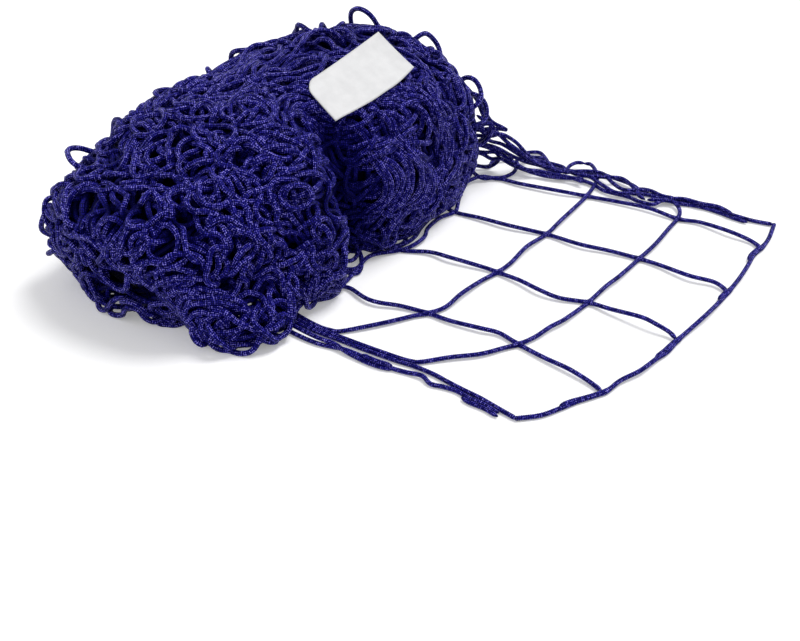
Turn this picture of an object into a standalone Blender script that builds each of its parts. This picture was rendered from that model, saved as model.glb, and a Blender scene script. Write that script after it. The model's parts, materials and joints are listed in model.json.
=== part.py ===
"""A sports net of braided cord, rolled up, with its loose end laid out flat on the floor.

Frame: origin on the floor under the roll, +Y along the roll, +X towards the loose end, +Z up.
Lengths are in metres. The net has ten lengthwise cords, which wind round the roll and run out
over the laid-out rows, and cross cords, which are the lines that the rows fold about.
"""

import math

import bmesh
import bpy
import numpy as np
from mathutils import Matrix, Vector

# Cord
CORD_D = 0.005
CORD_R = CORD_D / 2
CLEAR = 0.0003
SEAT = 0.0007
CROSS_ALLOW = 0.0004
JOINT_SWELL = 1.18
JOINT_HALF = 0.005

# Roll under the outer turns
ROLL_CX = -0.0206
ROLL_LEAN = 0.006
ROLL_Y_MID = -0.020
ROLL_HALF_LENGTH = 0.2235
ROLL_HALF_WIDTH = 0.120
ROLL_WIDEN = 0.005
ROLL_HEIGHT = 0.158
ROLL_RISE = 0.012
ROLL_WIDEST_Z = 0.054
ROLL_UNDERCUT = 0.033
WAIST_DEPTH = 0.008
WAIST_T = -0.12
WAIST_SPREAD = 0.20
SECTION_POWER = 2.46
NEAR_END_POWER = 4.9
FAR_END_POWER = 4.0
END_ROUNDING = 0.41
ROLL_AROUND = 36
ROLL_ALONG = 36

# Laid-out rows
ROWS = 3
ROW_PITCH = 0.096
FOOT_GAP = 0.0046
FOOT_X = ROLL_CX + ROLL_HALF_WIDTH + FOOT_GAP
FOLD_Z = CORD_R * JOINT_SWELL
FOLD_TIP_GAP = 0.0004
FOLD_TIP_LENGTH = 0.0014
FOLD_TIP_SCALE = 0.2
LEG_Y = (-0.065, 0.038, 0.140, 0.240)
LEG_Y_FOOT = (-0.070, 0.014, 0.112, 0.203)
LEG_BOW = 0.004
STUB_LENGTH = 0.032
STUB_BEND = 0.009

# Gathered edges of the laid-out rows
STRAND_PITCH = CORD_D + 2 * CLEAR
NEAR_STRAND = ((0.0, -0.156), (0.058, -0.146), (0.101, -0.151), (0.206, -0.149), (0.262, -0.146))
FAR_STRAND = ((0.0, 0.250), (0.096, 0.266), (0.192, 0.282), (0.290, 0.292))
FAR_WAVE = 0.009
FAR_WAVE_LENGTH = 0.064
NEAR_SLANT = 0.055
FAR_SLANT = 0.008
NEAR_STRAND_END = 0.262
FAR_STRAND_END = 0.290

# Turns round the roll: place along the roll at the foot, on the top and at the back
TURN_T_FOOT_FAR = (0.800, 0.880, 0.920, 0.955)
TURN_T_TOP = (-0.83, -0.67, -0.50, -0.32, -0.12, 0.10, 0.33, 0.51, 0.67, 0.82)
TURN_T_BACK = (-0.85, -0.68, -0.50, -0.30, -0.10, 0.10, 0.30, 0.50, 0.68, 0.84)
TURN_WAVE = 0.020
TURN_WAVES = 9
TURN_STEP = 0.0138
TURN_FOOT_SHARE = 0.62
TURN_FOOT_POINTS = 9
FAR_LEAD_CORNER = 0.35
TURN_FOOT_LIFT = 0.0016
TURN_FOOT_FADE = 0.06
TURN_TOP_SHARE = 0.5

# Cross cords over the turns, and slack loops between them
OVER_ANGLES = (20, 42, 64, 86, 108, 130, 152)
OVER_WAVE_ANGLE = 11.0
OVER_WAVE_LENGTH = 0.085
OVER_WAVE_SHIFT = 0.5
OVER_T_NEAR = -0.92
OVER_T_FAR = 0.90
OVER_STEP = 0.0148
LOOP_WIDTH = 0.020
LOOP_SEAT = 0.0007
LOOP_PLACES = ((0, 4, 0.028), (2, 5, 0.024), (4, 4, 0.027), (6, 5, 0.022), (7, 4, 0.026), (8, 3, 0.030))

# Sewn label
LABEL_LENGTH = 0.108
LABEL_WIDTH = 0.050
LABEL_THICK = 0.0008
LABEL_CORNER = 0.010
LABEL_T = 0.233
LABEL_ANGLE = 67.3
LABEL_TILT = 1.1
LABEL_PITCH = 9.0
LABEL_YAW = -5.4

CORD_BLUE = (0.016, 0.012, 0.105, 1.0)
CORD_DEEP_BLUE = (0.008, 0.006, 0.055, 1.0)
LABEL_WHITE = (0.80, 0.80, 0.81, 1.0)


def clear_scene():
    for obj in list(bpy.data.objects):
        bpy.data.objects.remove(obj, do_unlink=True)


def make_collection(name):
    collection = bpy.data.collections.new(name)
    bpy.context.scene.collection.children.link(collection)
    return collection


def make_material(name, colour, roughness):
    material = bpy.data.materials.new(name)
    material.use_nodes = True
    shader = material.node_tree.nodes["Principled BSDF"]
    shader.inputs["Base Color"].default_value = colour
    shader.inputs["Roughness"].default_value = roughness
    shader.inputs["Metallic"].default_value = 0.0
    return material


def smooth_route(points, step):
    """Points at an even step along a smooth curve through the route's own points."""
    route = np.array(points, float)
    padded = np.vstack([2 * route[0] - route[1], route, 2 * route[-1] - route[-2]])
    dense = []
    for i in range(1, len(padded) - 2):
        before, start, end, after = padded[i - 1:i + 3]
        for s in np.linspace(0, 1, 16, endpoint=False):
            dense.append(0.5 * (2 * start + (end - before) * s
                                + (2 * before - 5 * start + 4 * end - after) * s ** 2
                                + (3 * start - before - 3 * end + after) * s ** 3))
    dense.append(route[-1])
    dense = np.array(dense)
    lengths = np.concatenate([[0], np.cumsum(np.linalg.norm(np.diff(dense, axis=0), axis=1))])
    count = max(2, int(round(lengths[-1] / step)) + 1)
    places = np.linspace(0, lengths[-1], count)
    return np.stack([np.interp(places, lengths, dense[:, k]) for k in range(route.shape[1])], axis=1)


def make_tube(name, points, collection, parent=None, scales=None, sides=8, colour=CORD_BLUE):
    """One cord: a closed round tube along the given points, with a radius scale for each."""
    curve = bpy.data.curves.new(name, "CURVE")
    curve.dimensions = "3D"
    curve.bevel_depth = CORD_R
    curve.bevel_resolution = (sides - 4) // 2
    curve.use_fill_caps = True
    spline = curve.splines.new("POLY")
    spline.points.add(len(points) - 1)
    origin = parent.matrix_world.translation if parent else Vector((0, 0, 0))
    for k, point in enumerate(points):
        local = Vector(point) - origin
        spline.points[k].co = (local.x, local.y, local.z, 1.0)
        spline.points[k].radius = 1.0 if scales is None else scales[k]
    curve.materials.append(make_material(name, colour, 0.75))
    obj = bpy.data.objects.new(name, curve)
    obj.parent = parent
    collection.objects.link(obj)
    return obj


def least_gap(points, radius):
    """Least gap of a tube to itself, between points over four diameters apart along it."""
    points = np.array(points)
    steps = np.linalg.norm(np.diff(points, axis=0), axis=1)
    places = np.concatenate([[0], np.cumsum(steps)])
    apart = np.abs(places[:, None] - places[None, :]) > 8 * radius
    distance = np.linalg.norm(points[:, None] - points[None, :], axis=2)
    return float(np.min(np.where(apart, distance, np.inf)) - 2 * radius)


def bump(t, centre, width):
    return math.exp(-((t - centre) / width) ** 2)


def roll_point(t, angle):
    """A point on the roll: t from -1 to 1 along it, angle from 0 at the loose end over the top."""
    power = NEAR_END_POWER if t < 0 else FAR_END_POWER
    cap = max(0.0, 1 - abs(t) ** power) ** END_ROUNDING
    waist = WAIST_DEPTH * bump(t, WAIST_T, WAIST_SPREAD)
    half_width = (ROLL_HALF_WIDTH + ROLL_WIDEN * t - waist) * cap
    top = ROLL_HEIGHT + ROLL_RISE * t - 0.5 * waist
    across = math.copysign(abs(math.cos(angle)) ** (2 / SECTION_POWER), math.cos(angle))
    up = math.copysign(abs(math.sin(angle)) ** (2 / SECTION_POWER), math.sin(angle))
    rise = top - ROLL_WIDEST_Z if up > 0 else ROLL_WIDEST_Z + ROLL_UNDERCUT
    z = ROLL_WIDEST_Z + rise * cap * up
    x = ROLL_CX + ROLL_LEAN * t + half_width * across
    return Vector((x, ROLL_Y_MID + ROLL_HALF_LENGTH * t, max(0.0, z)))


def roll_normal(t, angle):
    step = 0.004
    along = roll_point(min(t + step, 0.999), angle) - roll_point(max(t - step, -0.999), angle)
    around = roll_point(t, angle + step) - roll_point(t, angle - step)
    return along.cross(around).normalized()


def on_roll(t, angle, height):
    return roll_point(t, angle) + roll_normal(t, angle) * height


def floor_angle(t, height):
    """How far below the widest line a cord of the given height above the roll meets the floor."""
    low = 0.0
    high = math.radians(60)
    for _ in range(40):
        middle = (low + high) / 2
        if on_roll(t, -middle, height).z > CORD_R:
            low = middle
        else:
            high = middle
    return low


def make_roll(collection):
    """The inner turns as one soft solid with two lobes, a waist and a flat underside."""
    mesh = bpy.data.meshes.new("inner_turns")
    shape = bmesh.new()
    bmesh.ops.create_uvsphere(shape, u_segments=ROLL_AROUND, v_segments=ROLL_ALONG, radius=1.0)
    for vertex in shape.verts:
        t = max(-1.0, min(1.0, vertex.co.z))
        vertex.co = roll_point(t, math.atan2(vertex.co.y, vertex.co.x))
    bmesh.ops.recalc_face_normals(shape, faces=shape.faces)
    shape.to_mesh(mesh)
    shape.free()
    mesh.shade_smooth()
    mesh.materials.append(make_material("inner_turns", CORD_DEEP_BLUE, 0.85))
    obj = bpy.data.objects.new("inner_turns", mesh)
    collection.objects.link(obj)


def make_hinge(name, parent, x):
    """An empty on a fold line, at the height of the joints' centres."""
    empty = bpy.data.objects.new(name, None)
    bpy.context.scene.collection.objects.link(empty)
    empty.parent = parent
    origin = parent.matrix_world.translation if parent else Vector((0, 0, 0))
    empty.location = Vector((x, 0, FOLD_Z)) - origin
    bpy.context.view_layer.update()
    return empty


def fold_x(k):
    return FOOT_X + ROW_PITCH * k


def strand_line(points, x):
    """Height along Y of a gathered edge's middle cord, at a distance past the foot."""
    route = smooth_route(points, 0.004)
    return float(np.interp(x, route[:, 0], route[:, 1]))


def strand_y(i, x):
    """Y of lengthwise cord i of a gathered edge, at x past the foot."""
    if i < 3:
        return strand_line(NEAR_STRAND, x) + (i - 1) * STRAND_PITCH
    side = i - 8
    wave = FAR_WAVE * (1 - math.cos(2 * math.pi * x / FAR_WAVE_LENGTH + side)) / 2
    return strand_line(FAR_STRAND, x) + side * (STRAND_PITCH + wave)


def strand_piece(i, row):
    """One row's length of a gathered cord, with tapered tips at the fold lines."""
    end = NEAR_STRAND_END if i < 3 else FAR_STRAND_END
    start = ROW_PITCH * (row - 1) + FOLD_TIP_GAP
    last = ROW_PITCH * row - FOLD_TIP_GAP
    if row == ROWS:
        last = end
    inner = np.linspace(start + FOLD_TIP_LENGTH, last - FOLD_TIP_LENGTH, 9)
    places = np.concatenate([[start], inner, [last]])
    points = [(FOOT_X + x, strand_y(i, x), CORD_R) for x in places]
    scales = [FOLD_TIP_SCALE] + [1.0] * len(inner) + [1.0 if row == ROWS else FOLD_TIP_SCALE]
    return points, scales


def leg_y(j, k):
    return LEG_Y_FOOT[j] if k == 0 else LEG_Y[j]


def joint_reach():
    """Distance from a fold line to the end of a cord that meets it."""
    return CORD_R * JOINT_SWELL + CLEAR


def leg_piece(j, row):
    """One row's length of an open lengthwise cord, between two cross cords."""
    start = Vector((fold_x(row - 1) + joint_reach(), leg_y(j, row - 1), CORD_R))
    end = Vector((fold_x(row) - joint_reach(), leg_y(j, row), CORD_R))
    bow = LEG_BOW * (1 if (j + row) % 2 else -1)
    points = []
    for s in np.linspace(0, 1, 10):
        point = start.lerp(end, s)
        ease = s * s * (3 - 2 * s)
        point.y = start.y + (end.y - start.y) * ease + bow * math.sin(math.pi * s) ** 2
        points.append(point)
    return points


def end_cord_x(y):
    """X of the end cord at the given Y: straight beside the open rows, slanting at both edges."""
    route = cross_route(ROWS)
    order = np.argsort(route[:, 1])
    return float(np.interp(y, route[order, 1], route[order, 0]))


def last_leg(j):
    """The last row's length of a lengthwise cord, with its end folded back along the end cord."""
    y = LEG_Y[j]
    beside = CORD_D + CLEAR * 2
    start = Vector((fold_x(ROWS - 1) + joint_reach(), y, CORD_R))
    route = [start, start.lerp(Vector((fold_x(ROWS), y + LEG_BOW, CORD_R)), 0.5)]
    route.append(Vector((end_cord_x(y) - beside - STUB_BEND, y - 0.001, CORD_R)))
    for drop in (STUB_BEND, STUB_BEND + STUB_LENGTH / 2, STUB_BEND + STUB_LENGTH):
        slope = (end_cord_x(y - drop + 0.002) - end_cord_x(y - drop - 0.002)) / 0.004
        side = beside * math.sqrt(1 + slope * slope)
        route.append(Vector((end_cord_x(y - drop) - side, y - drop, CORD_R)))
    return smooth_route(route, 0.0065)


def strand_meeting_y(i, x, side):
    """Y where a slanting cross cord stops beside cord i of a gathered edge."""
    return strand_y(i, x) + side * (CORD_R * 1.75 + CLEAR)


def cross_route(k):
    """Route of cross cord k, from the near gathered edge to the far one."""
    x = fold_x(k)
    if k == 0:
        return np.array([(x, LEG_Y_FOOT[0] - 0.012), (x, LEG_Y_FOOT[-1] + 0.012)])
    near_x = x - NEAR_SLANT
    far_x = x - FAR_SLANT
    if k == ROWS:
        near_x = FOOT_X + NEAR_STRAND_END - CORD_D
        far_x = FOOT_X + FAR_STRAND_END - CORD_D
    near_y = strand_meeting_y(2, near_x - FOOT_X, 1)
    far_y = strand_meeting_y(7, far_x - FOOT_X, -1)
    bend = LEG_Y[0] - 2.5 * JOINT_HALF
    far_bend = LEG_Y[-1] + 2 * JOINT_HALF
    near_part = smooth_route([(near_x, near_y), ((near_x + x) / 2 + 0.006, (near_y + bend) / 2), (x, bend)], 0.012)
    far_part = np.array([(x, far_bend), (far_x, far_y)])
    return np.vstack([near_part, far_part])


def cross_piece(k):
    """A cross cord, swollen where a lengthwise cord passes through it."""
    route = cross_route(k)
    joints = [leg_y(j, k) for j in range(len(LEG_Y))]
    stations = []
    for y in joints:
        stations += [(y - 2 * JOINT_HALF, 1.0), (y - JOINT_HALF, JOINT_SWELL)]
        stations += [(y + JOINT_HALF, JOINT_SWELL), (y + 2 * JOINT_HALF, 1.0)]
    first = joints[0] - 2 * JOINT_HALF
    last = joints[-1] + 2 * JOINT_HALF
    head = [(x, y, 1.0) for x, y in route if y < first - 0.001]
    tail = [(x, y, 1.0) for x, y in route if y > last + 0.001]
    middle = [(fold_x(k), y, scale) for y, scale in stations]
    whole = head + middle + tail
    points = [(x, y, CORD_R * scale) for x, y, scale in whole]
    scales = [scale for _, _, scale in whole]
    return points, scales


def turn_start(i):
    """Where lengthwise cord i leaves the first fold line for the roll."""
    if 3 <= i <= 6:
        return Vector((FOOT_X - joint_reach(), LEG_Y_FOOT[i - 3], CORD_R))
    return Vector((FOOT_X - FOLD_TIP_GAP, strand_y(i, 0.0), CORD_R))


def turn_t(i, s):
    """Place along the roll of turn i, at a share s of its way from the foot over the top."""
    if i > 5:
        foot = TURN_T_FOOT_FAR[i - 6]
    else:
        foot = (turn_start(i).y - ROLL_Y_MID) / ROLL_HALF_LENGTH
    if s < TURN_TOP_SHARE:
        ease = 0.5 - 0.5 * math.cos(math.pi * s / TURN_TOP_SHARE)
        t = foot + (TURN_T_TOP[i] - foot) * ease
    else:
        ease = 0.5 - 0.5 * math.cos(math.pi * (s - TURN_TOP_SHARE) / (1 - TURN_TOP_SHARE))
        t = TURN_T_TOP[i] + (TURN_T_BACK[i] - TURN_T_TOP[i]) * ease
    return t + TURN_WAVE * math.sin(math.pi * s) * math.sin(TURN_WAVES * math.pi * s + i)


def turn_height():
    return CORD_R + SEAT


def turn_route(i):
    """One wound cord: from the fold line at the foot, over the roll, down to the floor behind."""
    start = turn_start(i)
    low = floor_angle(turn_t(i, 0.0), turn_height())
    back = floor_angle(TURN_T_BACK[i], turn_height())
    first = -TURN_FOOT_SHARE * low
    last = math.pi + back
    lead = start + Vector((-CORD_D, 0, 0))
    route = [lead]
    entry = on_roll(turn_t(i, 0.0), first, turn_height())
    if i > 5:
        corner = Vector((entry.x + FAR_LEAD_CORNER * (lead.x - entry.x), lead.y, CORD_R))
        landing = Vector((entry.x, entry.y, CORD_R))
        for s in (0.33, 0.66):
            route.append(lead.lerp(corner, s).lerp(corner.lerp(landing, s), s))
    for s in np.linspace(0, 1, 60):
        angle = first + (last - first) * s
        lift = TURN_FOOT_LIFT * math.exp(-s / TURN_FOOT_FADE)
        route.append(on_roll(turn_t(i, s), angle, turn_height() + lift))
    fine = smooth_route(route, TURN_STEP / 3)
    return np.vstack([start, fine[:TURN_FOOT_POINTS], fine[TURN_FOOT_POINTS + 2:-3:3], fine[-1]])


def angle_share(angle):
    """Share of a turn's way over the roll at the given angle."""
    low = floor_angle(0.0, turn_height())
    first = -TURN_FOOT_SHARE * low
    return (angle - first) / (math.pi + low - first)


def over_height():
    return turn_height() + CORD_D + CLEAR + CROSS_ALLOW


def over_angle(n, t):
    """Angle round the roll of rolled cross cord n, which meanders as it runs along the roll."""
    phase = 2 * math.pi * t * ROLL_HALF_LENGTH / OVER_WAVE_LENGTH + OVER_WAVE_SHIFT * n
    return math.radians(OVER_ANGLES[n] + OVER_WAVE_ANGLE * math.sin(phase))


def over_route(n):
    """A cross cord that lies along the roll, over the turns."""
    route = []
    for t in np.linspace(OVER_T_NEAR, OVER_T_FAR, 100):
        route.append(on_roll(t, over_angle(n, t), over_height()))
    return smooth_route(route, OVER_STEP)


def loop_route(i, n, height):
    """A slack bight of cord that stands off the roll between two turns and two cross cords."""
    s = angle_share(math.radians(OVER_ANGLES[n] + OVER_ANGLES[n + 1]) / 2)
    t = (turn_t(i, s) + turn_t(i + 1, s)) / 2
    reach = LOOP_WIDTH / 2 / ROLL_HALF_LENGTH
    feet = []
    for place in (t - reach, t + reach):
        angle = (over_angle(n, place) + over_angle(n + 1, place)) / 2
        feet.append(on_roll(place, angle, LOOP_SEAT))
    normal = roll_normal(t, (over_angle(n, t) + over_angle(n + 1, t)) / 2)
    half = (feet[1] - feet[0]) / 2
    centre = (feet[0] + feet[1]) / 2 + normal * CORD_D
    points = [feet[0]]
    for s in np.linspace(0, math.pi, 11):
        sway = half * (-math.cos(s) * (1 + 0.25 * math.sin(s)))
        points.append(centre + sway + normal * ((height - CORD_D) * math.sin(s)))
    points.append(feet[1])
    return points


def make_rolled_cords(collection):
    """The wound lengthwise cords, the cross cords over them and the slack loops."""
    turns = []
    for i in range(len(TURN_T_TOP)):
        points = turn_route(i)
        scales = [1.0] * len(points)
        if not 3 <= i <= 6:
            scales[0] = FOLD_TIP_SCALE
            points = np.insert(points, 1, points[0] + np.array((-FOLD_TIP_LENGTH, 0, 0)), axis=0)
            scales.insert(1, 1.0)
        name = f"turn_{i + 1:02d}"
        make_tube(name, points, collection, scales=scales, sides=6)
        print(f"{name}: least gap to itself {least_gap(points, CORD_R) * 1000:.2f} mm")
        turns.append(np.array(points))
    overs = []
    for n in range(len(OVER_ANGLES)):
        points = over_route(n)
        make_tube(f"rolled_cross_cord_{n + 1}", points, collection, sides=6)
        overs.append(np.array(points))
    for count, (i, n, height) in enumerate(LOOP_PLACES):
        make_tube(f"slack_loop_{count + 1}", loop_route(i, n, height), collection, sides=6)
    return np.vstack(turns + overs)


def make_rows(collection, hinges):
    """The laid-out rows: open cords, gathered edge cords and cross cords, row by row."""
    points, scales = cross_piece(0)
    make_tube("cross_cord_foot", points, collection, scales=scales)
    for row in range(1, ROWS + 1):
        hinge = hinges[row - 1]
        for j in range(len(LEG_Y)):
            points = last_leg(j) if row == ROWS else leg_piece(j, row)
            make_tube(f"row_{row}_cord_{j + 4:02d}", points, collection, parent=hinge)
        for i in (0, 1, 2, 7, 8, 9):
            points, scales = strand_piece(i, row)
            make_tube(f"row_{row}_cord_{i + 1:02d}", points, collection, parent=hinge, scales=scales, sides=6)
        points, scales = cross_piece(row)
        name = "end_cord" if row == ROWS else f"cross_cord_{row}"
        make_tube(name, points, collection, parent=hinge, scales=scales)


def label_frame(cords):
    """Place of the label: its centre under the sheet, and its along, down and out directions."""
    angle = math.radians(LABEL_ANGLE)
    out = roll_normal(LABEL_T, angle)
    along = Vector((0, 1, 0))
    along = (along - out * along.dot(out)).normalized()
    along = Matrix.Rotation(math.radians(LABEL_TILT), 3, out) @ along
    down = along.cross(out)
    pitch = down * math.tan(math.radians(LABEL_PITCH))
    out = (out + pitch + along * math.tan(math.radians(LABEL_YAW))).normalized()
    along = (along - out * along.dot(out)).normalized()
    down = along.cross(out)
    centre = roll_point(LABEL_T, angle)
    offsets = cords - np.array(centre)
    inside = np.abs(offsets @ np.array(along)) < LABEL_LENGTH / 2 + CORD_D
    inside &= np.abs(offsets @ np.array(down)) < LABEL_WIDTH / 2 + CORD_D
    lift = float(np.max((offsets @ np.array(out))[inside])) + CORD_R + CLEAR
    return centre + out * lift, along, down, out


def make_label(collection, cords):
    """A sewn cloth label that turns about its upper edge."""
    centre, along, down, out = label_frame(cords)
    hinge = bpy.data.objects.new("label_edge", None)
    bpy.context.scene.collection.objects.link(hinge)
    turned = Matrix((along, down, out)).transposed().to_4x4()
    hinge.matrix_world = Matrix.Translation(centre - down * (LABEL_WIDTH / 2)) @ turned
    curve = bpy.data.curves.new("label", "CURVE")
    curve.dimensions = "2D"
    curve.fill_mode = "BOTH"
    curve.extrude = LABEL_THICK / 2
    half = LABEL_LENGTH / 2
    outline = [(half, 0), (half, LABEL_WIDTH), (-half, LABEL_WIDTH)]
    for s in np.linspace(0, math.pi / 2, 5):
        outline.append((-half + LABEL_CORNER * (1 - math.cos(s)), LABEL_CORNER * (1 - math.sin(s))))
    spline = curve.splines.new("POLY")
    spline.points.add(len(outline) - 1)
    for k, (x, y) in enumerate(outline):
        spline.points[k].co = (x, y, 0, 1)
    spline.use_cyclic_u = True
    curve.materials.append(make_material("label", LABEL_WHITE, 0.5))
    obj = bpy.data.objects.new("label", curve)
    obj.parent = hinge
    obj.location = (0, 0, LABEL_THICK / 2)
    collection.objects.link(obj)
    bpy.context.view_layer.update()
    place = hinge.matrix_world.translation
    print("label edge", [round(v, 5) for v in place], "along", [round(v, 5) for v in along])


def main():
    clear_scene()
    collection = make_collection("rolled_net")
    make_roll(collection)
    cords = make_rolled_cords(collection)
    hinges = []
    for row in range(ROWS):
        hinges.append(make_hinge(f"fold_{row + 1}", hinges[-1] if hinges else None, fold_x(row)))
    make_rows(collection, hinges)
    make_label(collection, cords)
    print("fold lines at x =", [round(fold_x(k), 5) for k in range(ROWS)], "z =", FOLD_Z)


main()
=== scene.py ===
"""Rolled net of braided cord: the visual model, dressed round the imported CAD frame."""

import json
import math

import bpy
import numpy as np
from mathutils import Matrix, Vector


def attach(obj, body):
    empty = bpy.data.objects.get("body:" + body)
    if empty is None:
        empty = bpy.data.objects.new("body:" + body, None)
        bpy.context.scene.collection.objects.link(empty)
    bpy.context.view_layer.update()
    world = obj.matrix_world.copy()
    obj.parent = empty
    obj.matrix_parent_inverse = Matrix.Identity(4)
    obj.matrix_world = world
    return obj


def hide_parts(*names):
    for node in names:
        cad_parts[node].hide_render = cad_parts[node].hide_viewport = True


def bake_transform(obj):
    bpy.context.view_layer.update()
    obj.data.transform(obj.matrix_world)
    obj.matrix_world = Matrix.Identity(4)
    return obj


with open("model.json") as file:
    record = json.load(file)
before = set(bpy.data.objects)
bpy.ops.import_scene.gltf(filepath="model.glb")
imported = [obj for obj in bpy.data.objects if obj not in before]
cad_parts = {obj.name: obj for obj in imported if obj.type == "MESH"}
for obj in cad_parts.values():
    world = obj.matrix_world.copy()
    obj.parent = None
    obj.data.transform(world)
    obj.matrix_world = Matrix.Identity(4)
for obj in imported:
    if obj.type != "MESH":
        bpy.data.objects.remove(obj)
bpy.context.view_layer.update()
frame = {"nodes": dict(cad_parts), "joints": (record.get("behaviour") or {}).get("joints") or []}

MM = 0.001

# Cord and mesh of the net, in millimetres, and the radii that the cord is drawn with
CORD_D = 5.0
CORD_R = CORD_D / 2
DRAWN_R = 2.1
ROLLED_R = 2.7
MESH_SIDE = 100.0

# Braid: pitch in millimetres, strands round the cord, relief as a share of its radius
BRAID_PITCH = 1.96
BRAID_LOBES = 8
BRAID_RELIEF = 0.07
UV_PER_MM = 0.1

# Rolled length of the net
NET_COLS = 10
NET_ROWS = 84
SEGMENTS = 16
SEGMENT = MESH_SIDE / SEGMENTS

# Outline of the roll that holds the cords' centres. A place t along the roll runs from -1 to 1.
ROLL_X = -20.6
ROLL_LEAN = 6.0
ROLL_Y = -24.0
ROLL_HALF_LENGTH = 235.0
ROLL_HALF_WIDTH = 126.5
ROLL_WIDEN = 5.0
ROLL_HEIGHT = 172.0
ROLL_RISE = 12.0
ROLL_WIDEST_Z = 54.0
ROLL_UNDERCUT = 33.0
SECTION_POWER = 2.46
NEAR_END_POWER = 4.9
FAR_END_POWER = 4.0
END_ROUNDING = 0.41
END_T = 0.985
WAIST_T = -0.06
WAIST_SPREAD = 0.10
WAIST_FRONT = 46.0
WAIST_BACK = 2.0
WAIST_CREST = 1.0
NEAR_CUT_ACROSS = (-100, -50, -25, 20, 60, 95)
NEAR_CUT = (0.21, 0.11, 0.055, 0.085, 0.19, 0.13)
NEAR_CUT_Z = 80.0
SPILL_Z = 40.0
CORE_SHARE = 0.76
SHOWN_SHARE = 0.80

# Swells of the outline: place along the roll, spread and size
LOBE_FRONT = (-0.30, 0.14, 18.0)
NEAR_BACK = (-0.92, 0.16, 14.0)
NEAR_DROP = (-0.74, 0.17, 24.0)
SPILL = (-0.70, 0.17, 54.0)

# Simulation
STEPS = 170
START_HALF_LENGTH = 440.0
GATHER_FROM = (-1.0, -0.10, 0.45, 1.0)
GATHER_TO = (-0.985, -0.25, 0.45, 0.985)
INNER_TURN = 0.80
WIND_SLACK = 0.72
ROLL_PERIMETER = 690.0
BEND = 0.5
BEND_CHORDS = ((4, 20.0, 0.5), (8, 34.0, 0.4))
STRAND_HOP = 4
STRAND_CHORD = 24.2
RING_STIFFNESS = 0.7
GRAVITY = 0.004
DAMPING = 0.80
STRAND_STIFFNESS = 0.9
PUSH = 0.3
MAX_SPEED = 2
SUBSTEPS = 2
SEARCH_EVERY = 3
SEARCH_REACH = CORD_D + 2.5
HOLD = 0.5
HOLD_AT_END = 0.25

# Shares of the steps: the roll is gathered, then its bights are pulled out and it settles
GATHERED = 0.55
BIGHTS_FROM = 0.6
BIGHTS_UNTIL = 0.88
SETTLES_FROM = 0.85

# Waves over the loosely rolled net: size, shares of the places along and across the net, seed,
# number, shortest and longest
SPREAD_WAVE = (0.07, 1, 0, 3, 4, 700, 2500)
SHIFT_WAVE = (0.11, 1, 0, 5, 4, 600, 2000)
SKEW_WAVE = (0.04, 1, 2.2, 6, 3, 300, 700)
CROSS_WAVE = (0.14, 0.3, 1, 8, 4, 250, 700)
SLANT_WAVE = (0.16, 0.6, 1.3, 9, 4, 300, 900)
DEPTH_WAVE = (0.05, 1.1, 1.7, 10, 4, 200, 600)
PHASES = 6.28

# The loosely rolled net
WIND_PLACES = 4000
START_SPREAD = 0.93
START_END_T = 0.995
LEAN_SWAY = 0.5
LOOSE_OVER = 350
START_ANGLE = -0.25
CLOSED_FROM = 0.72
CLOSED_OVER = 0.26
CLOSED_SHARE = 0.12
LEAST_SHARE = 0.1
START_MIDDLE_Z = 70.0
START_LOWEST_Z = 3.0
COARSE_RIPPLE = (45, 4, 1)
FINE_RIPPLE = (15, 1.5, 2)
RIPPLE_WAVES = 6
RIPPLE_NORM = 2.4

# What holds the cords: a lumpy outline, a hollow core and the label
LUMPS = ((0.07, 1), (0.061, 0), (0.07, 2))
LUMP_SIZE = 0.05
LOOSE_LIMIT = 9.0
CORE_END_T = 0.86
CORE_END_POWER = 6
CORE_STRETCH = 1.5
CORE_PUSH = 0.5
UNDER_LABEL_ALONG = 60
UNDER_LABEL_DOWN = (-6, 56)
UNDER_LABEL_OUT = 40
LABEL_GAP = 0.3

# Long cords laid on the roll
STRAND_POINTS = 40
STRAND_TUCK = 0.12
STRAND_SINK = 0.16

# Cords drawn tight along the crest of the roll, with angles in degrees
CREST_SEED = 21
CREST_CORDS = 84
CREST_FROM = 28.0
CREST_TO = 158.0
CREST_BEGIN = (-0.92, -0.25)
CREST_SPAN = (0.6, 1.35)
CREST_END = 0.95
CREST_DRIFT = 22
CREST_SWAY = 3
CREST_SWAY_WAVES = (4, 8)

# Cords that hang down the front of the far lobe
WRAP_SEED = 22
WRAP_CORDS = 40
WRAP_FROM = 0.0
WRAP_TO = 0.90
WRAP_SWEEP = (0.14, 0.38)
WRAP_TOP = (48, 96)
WRAP_FOOT = (-38, -16)
WRAP_SWAY = 2
WRAP_SWAY_WAVES = (3, 6)

# Cords that cross the near lobe: place along the roll and angle about it
CROSSINGS = (((-0.67, 94), (-0.58, 83), (-0.47, 69), (-0.38, 59), (-0.31, 50), (-0.18, 31), (-0.09, 19)),
             ((-0.45, 108), (-0.38, 94), (-0.28, 86), (-0.24, 76), (-0.19, 63)),
             ((-0.78, 34), (-0.70, 36), (-0.62, 38), (-0.54, 38)))
CROSSING_CORDS = 3
CROSSING_GAP = 3.2

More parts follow.
